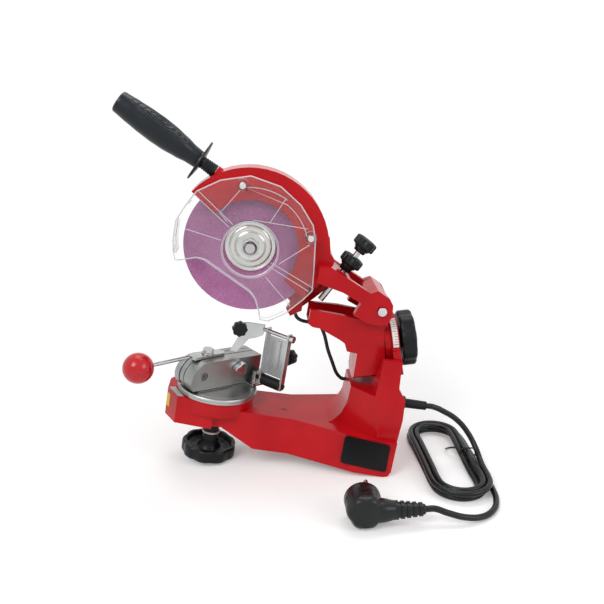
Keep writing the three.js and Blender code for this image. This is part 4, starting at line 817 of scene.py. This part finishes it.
def plug_flats(angle, radius, height):
    """Finger flats round the back of the plug that fade out towards its face."""
    if radius < FLAT_FROM or height > FLAT_TOP:
        return radius
    fade = min(1, (FLAT_TOP - height) / FLAT_FADE)
    return radius * (1 - FLAT_DEPTH * (1 - math.cos(GRIP_FLATS * angle)) * fade)


def squared(angle, radius, height):
    """A neck with softly squared corners, round where it closes on the cord."""
    if radius <= CORD_HOLE:
        return radius
    return radius * (1 - SQUARING * math.cos(2 * angle) ** 2)


def plug():
    """Angled plug: round face with grip flats, a ridged neck and a ribbed relief."""
    back = [(0, -16.5), (9, -16.4), (14.6, -15.4), (17.6, -13), (18.8, -9.4), (19, -5), (19, 5.6)]
    face = [(18.2, 6.2), (18.2, 7.0), (19, 7.6), (19, 15.2), (18.4, 16.3), (17.2, 16.5), (0, 16.5)]
    turned("plug_body", "rubber", back + face, bench, PLUG_AT, FAR, segments=144, shape=plug_flats)
    neck = [(0, -4), (10.5, -4), (12.6, 0), (12.8, 6), (12.2, 14), (11.2, 20), (10.6, 21.0), (10.6, 22.4),
            (10.2, 23), (9.9, 25.4)]
    relief = rings(5, 26, 6.2, 9.7, 0.65, 3.5, 1.7, 0.4)
    end = [(5.0, 57.2), (3.9, 57.8), (0, 57.8)]
    turned_neck = lathe(neck + relief + end, bench, NECK_AT, (1, 0, 0), shape=squared)
    add(mesh_object(turned_neck, "plug_neck", "rubber"), "base")
    for side, label in ((1, "upper"), (-1, "lower")):
        basis = Matrix(((-side, 0, 0), (0, 1, 0), (0, 0, side))).transposed().to_4x4()
        at = PLUG_AT + Vector((0, CLIP_START, side * CLIP_OUT))
        slab("earth_clip_" + label, CLIP, CLIP_THICKNESS, "rubber", "base",
             bench @ Matrix.Translation(at) @ basis, CLIP_ROUND)


# wire tie round the outer run of the hank, its two ends left standing in a loop
TIE_AT = Vector((234.2, -28, 8.2))
TIE_HALF_WIDTH, TIE_HALF_HEIGHT = 9.6, 7.8
TIE_STEPS = 28
TIE_DIAMETER = 1.7
TIE_PINCH = 0.08
TIE_CLIMB = 0.06
TIE_ENDS = [(226, -28, 13.4), (221, -24, 15.2), (215, -17, 11), (212, -9, 5), (214, -3, 1.6), (220, 0, 1.2),
            (226, -4, 3.4), (229, -12, 9), (229.5, -20, 14), (230, -26.4, 15.4)]


def cord_tie():
    band = []
    for step in range(TIE_STEPS + 1):
        angle = 2 * math.pi * step / TIE_STEPS
        pinch = 1 - TIE_PINCH * math.cos(4 * angle)
        band.append(TIE_AT + Vector((TIE_HALF_WIDTH * math.cos(angle) * pinch, TIE_CLIMB * step,
                                     TIE_HALF_HEIGHT * math.sin(angle) * pinch)))
    lines("cord_tie", [band, TIE_ENDS], TIE_DIAMETER, "rubber", "base", bench)


# the mains lead: one line through the gland, the hank and the plug's strain relief, in bench coordinates
CORD_NODES = ("cord_lead", "cord_hank", "cord_tail")
CORD_DIAMETER = 6.6
HANK_TURNS = 4
HANK_RADIUS = 33
HANK_STEP = 7.2
HANK_END_RUN = 10
LOOP_STEPS = 24
LOW_LAYER = 3.5
HIGH_LAYER = 10.7
HANK_NEAR = Vector((208, -86, 0))
HANK_FAR = Vector((205, 20, 0))
LEAD = [(180.1, -30, 72.3), (188.0, -30, 71.0), (203, -28, 63), (218, -26, 52), (231, -28, 37),
        (239, -38, 22), (241, -52, 13.5), (241.1, -64, 11.3)]
TAIL = [(239, -120, 3.6), (230, -138, 3.8), (215, -150, 4.6), (196, -155, 8), (178, -154, 13),
        (165, -152, 17), (156.3, -152, 17)]


def hank_point(turn):
    """Point of the hank at a number of turns from its start: two half circles joined by straight runs."""
    fold, run = 1 / 3, 1 / 6
    half = run / 2
    middle = HANK_TURNS / 2 - half
    off = abs(turn - middle)
    depth = off if off > half else half / 2 + off * off / (2 * half)
    radius = HANK_RADIUS - HANK_STEP * (middle - depth)
    climb = smoothstep(turn, middle - half, middle + half)
    height = Vector((0, 0, HIGH_LAYER + (LOW_LAYER - HIGH_LAYER) * climb))
    share = turn - math.floor(turn)

    def around(centre, angle):
        return centre + radius * Vector((math.cos(angle), math.sin(angle), 0)) + height

    if share < fold:
        return around(HANK_NEAR, -math.pi * share / fold)
    if share < fold + run:
        return HANK_NEAR.lerp(HANK_FAR, (share - fold) / run) - Vector((radius, 0, 0)) + height
    if share < 1 - run:
        return around(HANK_FAR, math.pi * (1 - (share - fold - run) / fold))
    return HANK_FAR.lerp(HANK_NEAR, (share - 1 + run) / run) + Vector((radius, 0, 0)) + height


def curve_through(name, points, diameter, look, place):
    data = bpy.data.curves.new(name, "CURVE")
    data.dimensions = "3D"
    data.bevel_depth = diameter / 2000
    data.bevel_resolution = 5
    data.use_fill_caps = True
    data.resolution_u = 6
    spline = data.splines.new("BEZIER")
    spline.bezier_points.add(len(points) - 1)
    for handle, point in zip(spline.bezier_points, points):
        handle.co = place @ Vector(point)
        handle.handle_left_type = handle.handle_right_type = "AUTO"
    obj = bpy.data.objects.new(name, data)
    give(obj, look)
    return obj


def mains_lead():
    loops = [hank_point(step / LOOP_STEPS) for step in range(HANK_TURNS * LOOP_STEPS + 1)]
    points = LEAD + loops + [loops[-1] + NEAR * HANK_END_RUN] + TAIL
    cord = curve_through("mains_cord", points, CORD_DIAMETER, "rubber", bench)
    add(cord, "base", CORD_NODES)


dress_nodes()
lock_knob()
tilt_knob()
depth_knobs()
chain_stop_knobs()
grip()
outer_flange()
turntable()
lever_ball()
guard_seams()
plates()
tilt_scale()
spacer_washer()
cord_tie()
motor_cable("motor_cable_upper", UPPER_ROUTE)
motor_cable("motor_cable_lower", LOWER_ROUTE)
plug()
mains_lead()

# camera, floor and light, in metres
CAMERA_AT = Vector((-0.0131, -0.7807, 0.4245))
CAMERA_LINE = Vector((0.0500, 0.9550, -0.2924))
LENS = 42.3
SENSOR = 36
FLOOR_GREY = (0.86, 0.86, 0.86)
FADE_FROM, FADE_TO, GLOW_FROM = 0.35, 1.1, 0.22
SWEEP_STEPS = 12
WORLD_LIGHT, WORLD_SEEN = 0.5, 1.0
LAMP_AIM = Vector((0, 0, 0.15))


def camera():
    data = bpy.data.cameras.new("camera")
    data.lens = LENS
    data.sensor_width = SENSOR
    data.sensor_fit = "HORIZONTAL"
    data.clip_start = 0.05
    obj = bpy.data.objects.new("camera", data)
    obj.location = CAMERA_AT
    obj.rotation_euler = CAMERA_LINE.to_track_quat("-Z", "Y").to_euler()
    bpy.context.scene.collection.objects.link(obj)
    bpy.context.scene.camera = obj


def seen_rays(tree):
    """1 for the rays that show a surface to the camera, straight, mirrored or through the clear guard."""
    path = tree.nodes.new("ShaderNodeLightPath")
    total = path.outputs["Is Camera Ray"]
    for kind in ("Is Glossy Ray", "Is Transmission Ray"):
        either = tree.nodes.new("ShaderNodeMath")
        either.operation = "MAXIMUM"
        tree.links.new(total, either.inputs[0])
        tree.links.new(path.outputs[kind], either.inputs[1])
        total = either.outputs["Value"]
    return total


def floor_paper():
    """White paper that fades into plain white away from the object."""
    s = Shader("floor_paper", FLOOR_GREY, 0.9)
    s.bump(s.noise(300, 2), 0.02, 0.0003)
    away = s.tree.nodes.new("ShaderNodeVectorMath")
    away.operation = "LENGTH"
    s.link(s.place, away.inputs[0])
    far_off = s.spread(away.outputs["Value"], 0.0, 1.0, FADE_FROM, FADE_TO)
    s.color(s.blend(far_off, FLOOR_GREY, (0.0, 0.0, 0.0)))
    shown = s.tree.nodes.new("ShaderNodeMath")
    shown.operation = "MULTIPLY"
    s.link(seen_rays(s.tree), shown.inputs[0])
    s.link(s.spread(far_off, GLOW_FROM, 1.0, 0.0, 1.0), shown.inputs[1])
    s.set("Emission Color", (1, 1, 1, 1))
    s.link(shown.outputs["Value"], s.main.inputs["Emission Strength"])
    return s.material


def sweep():
    """Floor that curves up into a wall behind the object."""
    near, far, radius, top, half = -3.0, 2.4, 0.9, 3.2, 4.0
    under = 0.0002
    profile = [(near, 0.0)]
    for step in range(SWEEP_STEPS + 1):
        angle = math.radians(90 * step / SWEEP_STEPS)
        profile.append((far + radius * math.sin(angle), radius * (1 - math.cos(angle))))
    profile.append((far + radius, top))
    bm = bmesh.new()
    rows = [[bm.verts.new((side * half, y, z - under)) for side in (-1, 1)] for y, z in profile]
    for first, second in zip(rows, rows[1:]):
        bm.faces.new((first[0], first[1], second[1], second[0]))
    mesh = bpy.data.meshes.new("floor")
    bm.to_mesh(mesh)
    bm.free()
    for face in mesh.polygons:
        face.use_smooth = True
    mesh.materials.append(floor_paper())
    obj = bpy.data.objects.new("floor", mesh)
    bpy.context.scene.collection.objects.link(obj)


def lamp(name, at, size, energy):
    data = bpy.data.lights.new(name, "AREA")
    data.shape = "RECTANGLE"
    data.size, data.size_y = size
    data.energy = energy
    obj = bpy.data.objects.new(name, data)
    obj.location = at
    obj.rotation_euler = (LAMP_AIM - Vector(at)).to_track_quat("-Z", "Y").to_euler()
    bpy.context.scene.collection.objects.link(obj)


def world():
    """White where it is seen, and half as bright where it lights the object."""
    data = bpy.data.worlds.new("studio")
    data.use_nodes = True
    tree = data.node_tree
    background = tree.nodes["Background"]
    background.inputs["Color"].default_value = (1, 1, 1, 1)
    strength = tree.nodes.new("ShaderNodeMapRange")
    strength.inputs["To Min"].default_value = WORLD_LIGHT
    strength.inputs["To Max"].default_value = WORLD_SEEN
    tree.links.new(seen_rays(tree), strength.inputs["Value"])
    tree.links.new(strength.outputs["Result"], background.inputs["Strength"])
    bpy.context.scene.world = data


camera()
sweep()
world()
lamp("key", (-0.9, -1.2, 1.5), (0.9, 0.9), 16)
lamp("fill", (1.3, -0.9, 0.9), (0.9, 0.9), 7)
lamp("top", (0.1, 0.5, 1.7), (1.2, 0.7), 9)

bpy.context.scene.view_settings.view_transform = "Standard"
